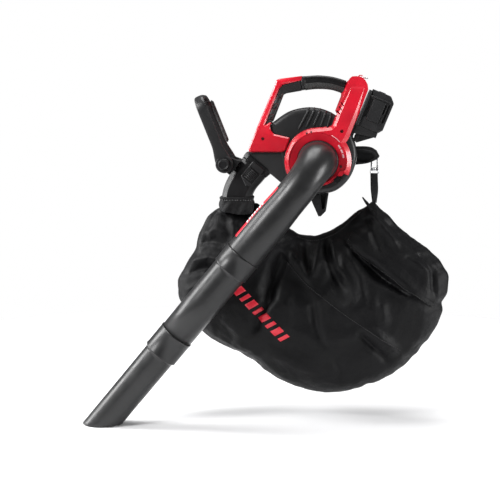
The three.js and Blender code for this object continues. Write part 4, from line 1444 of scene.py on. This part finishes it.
def knob():
    """The round knob that clamps the handle, with a shallow dished face and a ribbed rim."""
    lo, hi = low("handle_knob"), high("handle_knob")
    radius = (hi.x - lo.x) / 2
    face, back = lo.y, hi.y
    profile = [(4.5, back), (radius - 0.8, back), (radius, back - 0.8), (radius, face + 1.6),
               (radius - 0.5, face + 0.6), (radius - 1.4, face + 0.1), (radius - 2.6, face),
               (radius - 3.4, face + 0.9), (radius - 6.5, face + 0.7), (0, face + 0.4)]
    body = lathe("knob_cap", profile, PIVOT, BLACK, "handle_knob", segments=72)
    ridges = []
    for k in range(18):
        x, z = polar(20 * k, radius)
        centre = Vector((PIVOT.x + x * MM, 0, PIVOT.z + z * MM))
        path = [Vector((centre.x, PIVOT.y + y * MM, centre.z)) for y in (back - 1, face + 2.0)]
        ridges.append(sweep(f"knob_ridge_{k}", path, circle(0.9, 8), BLACK, "handle_knob", side=Z_AXIS))
    made = join([body] + ridges)
    finish(made, "black_plastic", "handle_knob")


def bracket_webs():
    """The stiffening webs between the bracket's cheeks."""
    pieces = []
    for i, (x0, z0, x1, z1) in enumerate(((-206, -8, -186, -27), (-200, 2, -178, -13))):
        path = [place(x0, 0, z0), place(x1, 0, z1)]
        pieces.append(sweep(f"web_{i}", path, superellipse(1.4, 30, 6, 16), BLACK))
    webs = join(pieces)
    webs.name = "bracket_webs"
    finish(bevel(webs, 0.4, 2, 40), "black_plastic")


# ---------- battery and dock ----------
def rail_box(a_range, p_range, radius=1.0):
    """An outline square to the spine, with each corner rounded."""
    (a0, a1), (p0, p1) = a_range, p_range
    return fillet([rail(a0, p0), rail(a0, p1), rail(a1, p1), rail(a1, p0)], radius)


def battery():
    """The battery pack: a chamfered block with a raised panel, slots and ridges on both sides."""
    a0, a1 = span("battery_pack", RAIL)
    p0, p1 = span("battery_pack", OUT)
    half = high("battery_pack").y
    face = half - 2.5
    corners = [(*rail(a0, p0), 1), (*rail(a0, p1 - 7), 4), (*rail(a0 + 9, p1), 5), (*rail(a1 - 13, p1), 8),
               (*rail(a1 - 0.2, p1 - 12), 8), (*rail(a1, p0), 2)]
    block = moulding(
        "battery_block", fillet(corners, 2, 6),
        [(4.5, face), (1.2, face - 1.4), (0, face - 4.5), (0, 4.5 - face), (1.2, 1.4 - face), (4.5, -face)],
        CHARCOAL, body="battery",
    )
    slots = [cut for side in (-1, 1) for cut in battery_slots(side, a0, p0, p1, face)]
    # The slot walls take the darkest black as painted shade.
    carve(block, *slots, shade_lining=DARK)
    bevel(block, 0.6, 2, 24)
    finish(block, "charcoal_plastic", "battery_pack")
    raised = [panel for side in (-1, 1) for panel in battery_panels(side, a0, p0, p1, half)]
    joined("battery_raised", "charcoal_plastic", raised + battery_shoe(a0, a1, p0, face))
    dock_ribs()


def battery_slots(side, a0, p0, p1, face):
    """The three deep slots and two fine grooves in a side of the pack."""
    deep, fine = 6.0, 1.3
    cutters = []
    for a_range, p_range, depth in (
        ((a0 + 24, a0 + 66), (p0 + 5, p0 + 11), deep),
        ((a0 + 42, a0 + 64), (p0 + 40, p0 + 44), deep),
        ((a0 + 24, a0 + 67), (p0 + 46, p0 + 51), deep),
        ((a0 + 16.2, a0 + 17.6), (p0 - 5, p1 - 4), fine),
        ((a0 + 8.2, a0 + 9.4), (p0 - 5, p1 - 4), fine),
    ):
        outline = rail_box(a_range, p_range, 0.4)
        cutters.append(cutter(outline, [(0, side * (face - depth)), (0, side * 50), (0, side * 51)]))
    return cutters


def battery_panels(side, a0, p0, p1, half):
    """The raised panel and the two ridges on a side of the pack."""
    panels = []
    for a_range, p_range, drop in (
        ((a0 + 19, a0 + 68), (p0 + 11.5, p0 + 39.5), 0.4),
        ((a0 + 69.5, a0 + 73), (p0 + 3, p1 - 6), 0.0),
        ((a0 + 20, a0 + 68), (p0 + 44.6, p0 + 45.8), 1.0),
    ):
        outline = rail_box(a_range, p_range)
        rim = [(0, side * (half - 4.5)), (0, side * (half - 1.0 - drop)), (0.9, side * (half - drop))]
        panel = moulding("battery_panel", outline, rim, CHARCOAL, body="battery")
        panels.append(bevel(panel, 0.5, 2, 30))
    return panels


def battery_shoe(a0, a1, p0, face):
    """The two cheeks and the lid that reach over the dock."""
    dock_half = high("battery_dock").y + 0.8
    dock_top = span("battery_dock", RAIL)[1] + 1.5
    p_range = (span("battery_dock", OUT)[0] + 0.6, p0 + 1)
    pieces = []
    for side in (-1, 1):
        rim = [(0, side * dock_half), (0, side * (face - 0.3)), (0.3, side * face)]
        cheek = rail_box((a0, a1 - 4), p_range, 0.4)
        pieces.append(moulding("cheek", cheek, rim, CHARCOAL, body="battery"))
    rim = [(0, face - 1), (0, 1 - face), (0.3, 0.7 - face)]
    lid = rail_box((dock_top, a1 - 4), p_range, 0.4)
    pieces.append(moulding("lid", lid, rim, CHARCOAL, body="battery"))
    return pieces


def dock_ribs():
    """Ribs and a ledge on the flanks of the battery dock."""
    half = high("battery_dock").y
    pieces = []
    for i in range(3):
        a, b = (82.5 + 4.6 * i, 60.0 - 0.6 * i), (79.5 + 3.4 * i, 46.0 - 0.6 * i)
        path = [place(x, -half, z) for x, z in (a, b)]
        pieces.append(sweep(f"dock_rib_{i}", path, superellipse(0.8, 0.9, 3, 12), BLACK))
    battery_side = span("battery_pack", OUT)[0] - 0.8
    wall = fillet(rail_box((50, 134), (38, battery_side), 2))
    pieces.append(moulding("dock_wall", wall, [(0, half - 3), (0, -half + 1), (1.0, -half)], CHARCOAL))
    path = [place(80, -half, 67.5), place(128, -half, 57.6)]
    pieces.append(sweep("dock_ledge", path, superellipse(4.6, 0.9, 6, 20), CHARCOAL))
    ribs = join(pieces)
    ribs.name = "dock_ribs"
    finish(bevel(ribs, 0.3, 2, 30), "black_plastic")


# ---------- rear hook arm, fin, clip and strap ----------
def hook_arm():
    """The arm that carries the bag's clip: a beam hollowed from both sides, with a raised lip."""
    lo, hi = low("hook_arm"), high("hook_arm")
    outline = refine(cap_outline("hook_arm", -1))
    face = lo.y
    arm = moulding(
        "hook_beam", outline,
        [(1.4, hi.y), (0, hi.y - 1.4), (0, face + 1.6), (1.4, face)], BLACK,
    )
    hollow = [(lo.x + 4, -2), (lo.x + 26, -3.5), (hi.x - 10, 7),
              (hi.x - 17, 17), (lo.x + 24, 20), (lo.x + 4, 21)]
    inner = fillet(hollow, 4)
    carve(arm, *(cutter(inner, [(0, side * 5), (0, side * 30), (0, side * 31)]) for side in (-1, 1)))
    bevel(arm, 0.8, 3, 28)
    finish(arm, "black_plastic", "hook_arm")
    lip = [(lo.x + 3, 25.5), (lo.x + 22, 25.5), (hi.x - 14, 20), (hi.x - 7, 12)]
    path = [place(x, face + 0.4, z) for x, z in lip]
    web = sweep("hook_arm_lip", spline(path, 8), superellipse(1.0, 0.9, 2.4, 12), CHARCOAL)
    finish(web, "black_plastic")


def bottom_fin():
    """The foot fin under the housing: a tapering blade with a hollow face."""
    lo, hi = low("bottom_fin"), high("bottom_fin")
    outline = cap_outline("bottom_fin", 1)
    fin = moulding(
        "foot_fin", fillet(outline, 1.2), [(1.2, hi.y), (0, hi.y - 1.2), (0, lo.y + 1.4), (1.4, lo.y)], BLACK,
    )
    hollow = fillet([(5.5, -78), (19, -76), (15, -109), (9, -111)], 1.5)
    carve(fin, cutter(hollow, [(0, hi.y - 7), (0, lo.y - 10), (0, lo.y - 11)]))
    bevel(fin, 0.6, 2, 28)
    finish(fin, "black_plastic", "bottom_fin")


def snap_clip():
    """The plated clip: its hook, spring gate and swivel barrel."""
    soften("snap_hook", CHROME, 1.3, 4, 25)
    soften("snap_gate", CHROME, 0.8, 3, 25)
    lo, hi = low("snap_hook"), high("snap_hook")
    x = (lo.x + hi.x) / 2
    profile = [(0, lo.z + 7.5), (3.2, lo.z + 7.5), (4.0, lo.z + 6.7), (4.0, lo.z + 4.6), (3.2, lo.z + 3.8),
               (3.2, lo.z + 2.6), (4.2, lo.z + 2.0), (4.2, lo.z + 0.6), (3.4, lo.z), (0, lo.z)]
    barrel = lathe("clip_swivel", profile, place(x, 0, 0), CHROME, axis=Z_AXIS, segments=40)
    finish(barrel, "chrome")
    bar = [place(x - 8.6, 0, lo.z - 3), place(x - 8.6, 0, lo.z - 0.5), place(x - 6.5, 0, lo.z + 1.2),
           place(x + 6.5, 0, lo.z + 1.2), place(x + 8.6, 0, lo.z - 0.5), place(x + 8.6, 0, lo.z - 3)]
    low_bar = [place(x + 8.6, 0, lo.z - 6), place(x - 8.6, 0, lo.z - 6)]
    loop = sweep("clip_loop", spline(bar + low_bar, 5), circle(1.1, 12), CHROME, closed=True)
    finish(loop, "chrome")


def strap():
    """The webbing loop between the clip and the bag's corner: two flat layers that twist as they hang."""
    lo, hi = low("bag_strap"), high("bag_strap")
    x = (lo.x + hi.x) / 2
    layers = []
    for k, side in enumerate((-1, 1)):
        rings = []
        for i in range(33):
            t = i / 32
            z = lerp(hi.z + 0.2, lo.z, t)
            turn = math.radians(lerp(8, 62, smooth(0.2, 1.0, t)) + 7 * side)
            bow = side * (1.4 + 1.3 * math.sin(math.pi * t))
            width = lerp(8.4, 8.0, t)
            across = Vector((math.cos(turn), math.sin(turn), 0))
            out = Vector((-math.sin(turn), math.cos(turn), 0))
            centre = place(x + 1.2 * math.sin(2.4 * t), 0, z) + out * (bow * MM)
            rings.append(ring_of(superellipse(width, 0.75, 7, 28), centre, across, out))
        layers.append(skinned(f"strap_layer_{k}", rings, WEBBING))
    loop = join(layers)
    loop.name = "strap_webbing"
    finish(loop, "webbing", "bag_strap")


# ---------- collection bag ----------
VOXEL = 0.0055  # metres, size of the bag's remeshed faces
CLOTH_FRAMES = 20  # how long the cloth is blown out
CLOTH_REACH = 0.011  # metres, how far the blown cloth may move
CLOTH_ROOM = 0.012  # metres, how far it may stand past the CAD body
BAG_SEAM = [(-70, -228), (-16, -285), (65, -344), (119, -380), (191, -428)]
POCKET = [(65, -186), (110, -217), (168, -257), (205, -288), (262, -329)]
HEM = [(-52, -178), (-18, -187), (22, -178), (52, -160), (78, -136), (101, -115)]
# Folds in the cloth: points along the fold, its half width and its height (negative presses in), in mm.
FOLDS = [
    ([(-64, -205), (-38, -240), (-14, -277)], 9, 7),
    ([(10, -180), (-3, -232), (-12, -268)], 8, 6),
    ([(-30, -185), (-20, -225), (-15, -262)], 10, -6),
    ([(34, -178), (48, -236), (88, -292)], 10, 7),
    ([(20, -180), (30, -240), (62, -300)], 9, -5),
    ([(60, -190), (96, -262), (112, -330)], 13, 5),
    ([(72, -196), (118, -240), (160, -282)], 13, -11),
    ([(112, -228), (164, -270), (214, -302)], 11, -14),
    ([(-78, -208), (-98, -262), (-118, -318)], 17, -15),
    ([(-98, -300), (-132, -352), (-142, -396)], 12, -8),
    ([(-60, -300), (-84, -350), (-92, -400)], 20, 5),
    ([(146, -316), (152, -350), (150, -372)], 12, 6),
    ([(124, -120), (160, -160), (186, -204)], 9, 6),
    ([(142, -128), (190, -168), (228, -206)], 8, -5),
    ([(112, -122), (130, -170), (150, -214)], 9, -5),
    ([(196, -214), (236, -236), (262, -254)], 12, 6),
    ([(228, -200), (262, -252), (268, -318)], 7, -7),
    ([(112, -372), (160, -410), (186, -440)], 14, 7),
    ([(96, -388), (140, -430), (170, -462)], 9, -7),
    ([(-10, -320), (0, -380), (28, -424)], 10, -5),
    ([(20, -400), (80, -392), (104, -386)], 12, 6),
    ([(-268, -170), (-232, -160), (-196, -172)], 9, 6),
    ([(-278, -190), (-240, -184), (-204, -192)], 8, -5),
    ([(-292, -236), (-250, -222), (-212, -232)], 10, 6),
    ([(-306, -262), (-262, -246), (-220, -250)], 8, -6),
    ([(-300, -300), (-264, -284), (-236, -290)], 10, 5),
    ([(-232, -122), (-252, -150), (-262, -186)], 7, -6),
    ([(-168, -128), (-140, -156), (-124, -196)], 9, -7),
    ([(-196, -126), (-190, -170), (-196, -208)], 9, 5),
    ([(-120, -440), (-60, -452), (0, -488)], 18, 4),
    ([(40, -440), (58, -480), (52, -512)], 12, -5),
]


def fold_distance(x, z, keys):
    """How far a point lies from a fold line, and how far along it the nearest place is, from 0 to 1."""
    best, share = 1e9, 0.0
    point = Vector((x, z))
    for i, (a, b) in enumerate(zip(keys, keys[1:])):
        a, b = Vector(a), Vector(b)
        along = b - a
        t = clamp((point - a).dot(along) / along.length_squared)
        distance = (point - a - along * t).length
        if distance < best:
            best, share = distance, (i + t) / (len(keys) - 1)
    return best, share


def fold_height(x, z):
    """The summed height of all folds at a point of the bag's face."""
    total = 0.0
    for keys, width, height in FOLDS:
        distance, share = fold_distance(x, z, keys)
        if distance < width * 2.6:
            round_crest = math.exp(-((distance / width) ** 2))
            sharp_crest = clamp(1 - distance / (width * 1.7)) ** 1.5
            crest = 0.35 * round_crest + 0.65 * sharp_crest
            total += 1.5 * height * crest * smooth(0, 0.25, share + 0.12) * smooth(1.1, 0.7, share)
    return total


def bag():
    """The collection bag: remeshed from the CAD body, blown out as cloth, then folded, seamed and hemmed."""
    source = frame["nodes"]["collection_bag"]
    cloth = bpy.data.objects.new("bag_cloth", source.data.copy())
    bpy.context.scene.collection.objects.link(cloth)
    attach(cloth, "root")
    cloth.data.materials.clear()
    drop_custom_normals(cloth.data)
    remesh = cloth.modifiers.new("remesh", "REMESH")
    remesh.mode = "VOXEL"
    remesh.voxel_size = VOXEL
    relax = cloth.modifiers.new("relax", "SMOOTH")
    relax.iterations = 3
    apply_modifiers(cloth)
    rumple(cloth)
    simulate(cloth)
    refit(cloth)
    fold(cloth)
    cloth.data.polygons.foreach_set("use_smooth", [True] * len(cloth.data.polygons))
    paint(cloth, BAG)
    subdivide(cloth)
    finish(cloth, "bag_fabric", "collection_bag")
    cloth.data.update()
    points = [v.co.copy() for v in cloth.data.vertices]
    bag_details(BVHTree.FromPolygons(points, [p.vertices[:] for p in cloth.data.polygons]))


def rumple(cloth):
    """Uneven panels before the cloth is blown out, so that it creases in uneven places."""
    for v in cloth.data.vertices:
        wave = noise.noise(Vector((v.co.x * 14, v.co.y * 8, v.co.z * 11))) * 3.5
        v.co.y += wave * MM


def simulate(cloth):
    """Blows the bag up a little with its cuff, hem and corner held, and keeps the creases that this makes."""
    rest = [v.co.copy() for v in cloth.data.vertices]
    held = cloth.vertex_groups.new(name="held")
    hem = HEM + [(122, -100)]
    for v in cloth.data.vertices:
        x, z = on_plane(v.co)
        at_cuff = z > -128 and x < -100
        near_hem = fold_distance(x, z, hem)[0] < 9
        held.add([v.index], 1.0 if at_cuff or near_hem or z > -116 else 0.03, "REPLACE")
    modifier = cloth.modifiers.new("cloth", "CLOTH")
    settings = modifier.settings
    settings.quality = 5
    settings.mass = 0.25
    settings.tension_stiffness = 18
    settings.compression_stiffness = 9
    settings.shear_stiffness = 6
    settings.bending_stiffness = 0.35
    settings.use_pressure = True
    settings.uniform_pressure_force = 4
    settings.shrink_min = -0.07
    settings.vertex_group_mass = "held"
    settings.effector_weights.gravity = 0
    modifier.collision_settings.use_collision = False
    scene = bpy.context.scene
    scene.frame_start, scene.frame_end = 1, CLOTH_FRAMES
    for number in range(1, CLOTH_FRAMES + 1):
        scene.frame_set(number)
    apply_modifiers(cloth)
    cloth.vertex_groups.clear()
    for v, start in zip(cloth.data.vertices, rest):
        move = v.co - start
        move.x *= 0.25
        move.z *= 0.25
        v.co = start + move * min(1.0, CLOTH_REACH / max(move.length, 1e-9))
    scene.frame_set(1)


def refit(cloth):
    """Stretches the cloth in its own plane back over the CAD body, since smoothing pulls its rim in."""
    lo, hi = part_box("collection_bag")
    middle = (lo + hi) / 2
    points = [v.co for v in cloth.data.vertices]
    for axis in (0, 2):
        least, most = min(p[axis] for p in points), max(p[axis] for p in points)
        for p in points:
            p[axis] = lerp(lo[axis], hi[axis], (p[axis] - least) / (most - least))
    for p in points:
        below = smooth(-120, -260, (p.z - FAN.z) / MM)
        p.x += 8 * MM * below * (p.x - middle.x) / (hi.x - middle.x)
        p.z -= 11 * MM * (hi.z - p.z) / (hi.z - lo.z)


def shoulder_rise(point):
    """How far the cloth stands up beside the cuff, more on its right than on its left."""
    cuff_low, cuff_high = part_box("bag_cuff")
    centre = (cuff_low + cuff_high) / 2
    across = (point.x - centre.x) / MM
    height = 26 if across > 0 else 15
    beside = math.exp(-(((abs(across) - 45) / 22) ** 2) - ((point.y - centre.y) / (30 * MM)) ** 2)
    return height * beside * smooth(-175, -135, (point.z - FAN.z) / MM)


def fold(cloth):
    """Adds the large folds to the front and the back, and keeps the cloth inside its room."""
    mesh = cloth.data
    lo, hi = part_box("collection_bag")
    normals = [v.normal.copy() for v in mesh.vertices]
    for v, normal in zip(mesh.vertices, normals):
        x, z = on_plane(v.co)
        facing = clamp(abs(normal.y) * 1.6 - 0.35)
        if facing:
            front = normal.y < 0
            height = fold_height(x, z) if front else 0.7 * fold_height(x + 24, z - 10)
            v.co += normal * (height * facing * MM)
        crease = noise.multi_fractal(Vector((v.co.x * 26, v.co.y * 18, v.co.z * 20)), 0.7, 2.1, 3) - 1.0
        v.co += normal * (1.1 * crease * MM)
        x, z = on_plane(v.co)
        peak = math.exp(-(((x - 126) / 13) ** 2)) * smooth(-135, -100, z)
        v.co.z += (9 * peak + shoulder_rise(v.co)) * MM
        x, z = on_plane(v.co)
        notch = smooth(225, 270, x) * math.exp(-(((z + 324) / 13) ** 2))
        v.co.x -= 8 * notch * MM
        v.co = Vector(clamp(c, a - CLOTH_ROOM, b + CLOTH_ROOM) for c, a, b in zip(v.co, lo, hi))
    mesh.update()


def on_bag(tree, x, z, lift=0.3):
    """The point of the bag's front face at x and z, lifted off the cloth, with the cloth's normal there."""
    spot, normal, _, _ = tree.ray_cast(place(x, -400, z), Y_AXIS)
    if spot is None:
        spot, normal, _, _ = tree.find_nearest(place(x, -20, z))
    return spot + normal * (lift * MM), normal


def laid(tree, keys, spacing=4.0, lift=0.3):
    """Points laid on the bag's front face along a smooth line through the keys."""
    curve = spline([Vector((x, 0, z)) for x, z in keys], 12)
    length = sum((b - a).length for a, b in zip(curve, curve[1:]))
    count = max(4, round(length / spacing))
    made, walked, i = [], 0.0, 0
    for k in range(count + 1):
        goal = length * k / count
        while i < len(curve) - 2 and walked + (curve[i + 1] - curve[i]).length < goal:
            walked += (curve[i + 1] - curve[i]).length
            i += 1
        step = (curve[i + 1] - curve[i]).length
        p = curve[i].lerp(curve[i + 1], clamp((goal - walked) / max(step, 1e-6)))
        made.append(on_bag(tree, p.x, p.z, lift))
    return made


def seam(tree, name, keys, width, lift, stitches=True):
    """A flat felled seam laid on the cloth, with a row of stitches along it."""
    line = laid(tree, keys, 4.0, lift)
    path = [p for p, _ in line]
    rings = []
    for i, (p, normal) in enumerate(line):
        ahead = heading(path, i).normalized()
        across = ahead.cross(normal).normalized()
        up = across.cross(ahead)
        rings.append(ring_of(superellipse(width, 0.8, 2.6, 14), p, across, up))
    band = skinned(name, rings, BAG)
    finish(band, "bag_fabric")
    if stitches:
        pieces = []
        for i, (p, normal) in enumerate(laid(tree, keys, 5.0, lift + 0.9)[1:-1]):
            following = laid_step(p, keys)
            path = [p - following * 0.0014, p + following * 0.0014]
            pieces.append(sweep(f"stitch_{i}", path, circle(0.28, 6), THREAD, side=normal))
        joined(name + "_stitches", "bag_fabric", pieces)
    return band


def laid_step(p, keys):
    """The direction of the keyed line nearest a point of the bag."""
    x, z = on_plane(p)
    best = min(zip(keys, keys[1:]), key=lambda pair: fold_distance(x, z, pair)[0])
    (x0, z0), (x1, z1) = best
    return Vector((x1 - x0, 0, z1 - z0)).normalized()


def bag_details(tree):
    """Seams, the pocket flap, the hem, the corner tab and the printed mark."""
    seam(tree, "bag_seam", BAG_SEAM, 1.5, 0.2)
    seam(tree, "bag_hem", [(x + 2, z + 3) for x, z in HEM], 1.4, 0.1)
    seam(tree, "pocket_edge", POCKET, 1.3, 5.6)
    seam(tree, "pocket_hem", [(x + 5, z + 9) for x, z in POCKET], 0.5, 2.6, stitches=False)
    pocket_flap(tree)
    bag_mark(tree)
    corner_tab()


def pocket_flap(tree):
    """The loose edge of the upper panel, which stands off the cloth below it."""
    edge = spline([Vector((x, 0, z)) for x, z in POCKET], 10)
    rows = []
    for k in range(9):
        t = k / 8
        row = []
        for i, p in enumerate(edge):
            ends = smooth(0, 0.12, i / (len(edge) - 1)) * smooth(1.0, 0.9, i / (len(edge) - 1))
            lift = 0.2 + 5.0 * ends * (1 - t) ** 1.5
            row.append(on_bag(tree, p.x + 14 * t, p.z + 26 * t, lift)[0])
        rows.append(row)
    flap = sheet("pocket_flap", rows, BAG, 0.8)
    subdivide(flap)
    finish(flap, "bag_fabric")


def bag_mark(tree):
    """A generic printed mark: a slanting row of plain red blocks."""
    start, end = Vector((-182, -290)), Vector((-44, -430))
    along = (end - start).normalized()
    across = Vector((-along.y, along.x))
    lengths = (15, 9, 15, 9, 15, 9, 15, 9)
    pieces, at = [], 0.0
    for i, size in enumerate(lengths):
        rows = []
        for k in range(6):
            row = []
            for j in range(6):
                u = at + size * j / 5 + 6.0 * (k / 5 - 0.5)
                v = lerp(-12.0, 12.0, k / 5)
                p = start + along * u + across * v
                row.append(on_bag(tree, p.x, p.y, 0.55)[0])
            rows.append(row)
        pieces.append(sheet(f"mark_{i}", rows, RED_INK, 0.35))
        at += size + 9.0
    joined("bag_mark", "bag_fabric", pieces)


def corner_tab():
    """The folded webbing tab sewn to the bag's corner, where the strap is fixed."""
    pieces = []
    for i, (keys, width) in enumerate((
        ([(101, -6, -83), (107, -9, -91), (115, -11, -101), (122, -13, -112)], 3.6),
        ([(127, -3, -90), (127, -8, -99), (129, -12, -112), (131, -15, -124)], 6.5),
    )):
        path = spline([place(*key) for key in keys], 6)
        rings = []
        for k, p in enumerate(path):
            share = k / (len(path) - 1)
            ahead = heading(path, k)
            half = width * lerp(0.45, 1.0, smooth(0, 0.6, share))
            rings.append(section_ring(superellipse(half, 1.1, 4, 18), p, ahead))
        pieces.append(skinned(f"tab_{i}", rings, WEBBING))
    joined("bag_tab", "webbing", pieces)


def cuff():
    """The gathered cuff that holds the bag on the outlet: a rolled hem with stitches over a rumpled band."""
    lo, hi = low("bag_cuff"), high("bag_cuff")
    centre = (lo + hi) / 2
    half = (hi.x - lo.x) / 2 - 3.5
    rings = []
    profile = [(0.3, -1.6), (1.5, 0.2), (3.0, 0.9), (4.6, 0.9), (6.2, -0.2), (8.5, -0.9), (12, -0.2),
               (17, 0.3), (23, 0.9), (28, 0.9), (33, -0.6), (38, -3.0)]
    inner = [(38, -5.0), (24, -2.2), (12, -2.6), (3, -2.6)]
    count = 120
    for drop, grow in profile + inner:
        ring = []
        for u, v in evenly(superellipse(half + grow, half + grow, 5.0, 80), count):
            angle = math.atan2(v, u)
            slack = smooth(6, 20, drop)
            ruffle = 1.8 * slack * math.sin(7 * angle + 0.12 * drop)
            ruffle += 1.0 * slack * math.sin(15 * angle + 1 + 0.2 * drop)
            sag = 3.4 * slack * math.sin(2 * angle + 0.7)
            scale = 1 + (ruffle - 1.2) / half
            ring.append(place(centre.x + u * scale, v * scale, hi.z - drop + sag))
        rings.append(ring)
    band = skinned("cuff_band", rings, CUFF, closed="both", caps=False)
    subdivide(band)
    finish(band, "bag_fabric", "bag_cuff")
    cuff_stitches(centre, half - 1.2, hi.z - 7.6)


def cuff_stitches(centre, half, z):
    """A row of white stitches round the hem of the cuff."""
    count = 44
    steps = 120
    line = evenly(superellipse(half, half, 5.0, 80), steps)
    stitches = []
    for i in range(count):
        start = int(i / count * steps)
        path = [place(centre.x + u, v, z) for u, v in (line[start], line[(start + 1) % steps])]
        section = superellipse(0.3, 0.5, 2, 8)
        stitches.append(sweep(f"cuff_stitch_{i}", path, section, WHITE_THREAD, side=Z_AXIS))
    joined("cuff_stitches", "bag_fabric", stitches)


# ---------- printed marks ----------
def arc_bar(name, start, end, width, y, material, step=2.0):
    """A thin printed bar on the ring's face. start and end are (degrees, radius)."""
    count = max(3, round(abs(start[0] - end[0]) / step))
    rows = []
    for k in range(count + 1):
        angle, radius = lerp(start[0], end[0], k / count), lerp(start[1], end[1], k / count)
        ends = (polar(angle, radius - width / 2), polar(angle, radius + width / 2))
        rows.append([place(x, y, z) for x, z in ends])
    return sheet(name, rows, material, 0.3)


def ring_marks():
    """Generic printed bars on the ring, and two plain padlock signs for the tube lock."""
    y = RING_FRONT - 0.12
    pieces = [arc_bar("ring_bar_0", (62, 65.4), (41, 65.4), 1.5, y, PINK_INK)]
    for k in range(3):
        start, end = (38 - 11 * k, 58.5), (29.5 - 11 * k, 58.5)
        pieces.append(arc_bar(f"ring_bar_{k + 1}", start, end, 3.8, RING_FRONT + 1.5, PINK_INK))
    joined("ring_label", "red_shell", pieces)
    signs = []
    for k, angle in enumerate((112, 103)):
        x, z = polar(angle, 68.5)
        signs.append(arc_bar(f"sign_{k}", (angle - 1.6, 67.4), (angle + 1.6, 67.4), 3.2, y, DARK, step=1.0))
        turns = [math.pi * j / 8 for j in range(9)]
        shackle = [place(x + 1.3 * math.cos(t), y, z + 1.2 + 1.6 * math.sin(t)) for t in turns]
        signs.append(sweep(f"shackle_{k}", shackle, circle(0.3, 6), DARK, side=Y_AXIS))
    joined("lock_signs", "red_shell", signs)


def tube_label():
    """The printed strip along the upper tube: a red band with plain white blocks."""
    def patch(name, s_range, angles, lift, material):
        rows = []
        steps = max(2, round((s_range[1] - s_range[0]) / 6))
        for i in range(steps + 1):
            s = lerp(*s_range, i / steps)
            radius = upper_tube_radius(s) + lift
            row = []
            for k in range(9):
                t = math.radians(lerp(*angles, k / 8))
                spoke = UP_DUCT * math.cos(t) + Vector((0, -math.sin(t), 0))
                row.append(tube_axis_point(s) + spoke * (radius * MM))
            rows.append(row)
        return sheet(name, rows, material, 0.25, "suction_tube")

    band = patch("label_band", (93, 236), (-6, 26), 0.12, RED_INK)
    blocks = []
    for i in range(7):
        start = 140 + i * 8.5
        blocks.append(patch(f"label_block_{i}", (start, start + 5.6), (4, 20), 0.42, WHITE_INK))
    joined("tube_label", "tube_plastic", [band] + blocks)


# ---------- CAD nodes that stay as they are, with rounded edges ----------
FINISHES = {
    "body_shell_far": RED, "trigger_switch": BLACK, "impeller": FAN_PLASTIC, "mulching_blade": STEEL,
    "impeller_nut": STEEL, "motor_shaft": STEEL, "motor_rotor": STEEL, "motor_can": STEEL,
    "motor_stator": COPPER, "bearing_front": STEEL, "bearing_rear": STEEL, "motor_cover": BLACK,
    "battery_release_button": BLACK, "battery_dock": CHARCOAL, "control_board": BOARD, "tube_latch": BLACK,
    "spine_screw": SCREW_STEEL, "ring_screw": SCREW_STEEL, "foot_screw": SCREW_STEEL, "strap_ring": CHROME,
    "handle_bracket": BLACK, "handle_bolt": STEEL, "handle_nut": STEEL,
}


# ---------- assembly ----------
red_plate()
for side in (-1, 1):
    red_post(side)
    housing(side)
    post_panel(side)
dome_ribs()
tubes()
lock_collar()
grip()
trigger()
outlet_elbow()
front_handle()
bracket_webs()
battery()
hook_arm()
bottom_fin()
snap_clip()
strap()
bag()
cuff()
ring_marks()
tube_label()
for name, finish in FINISHES.items():
    soften(name, finish)
camera()
studio()
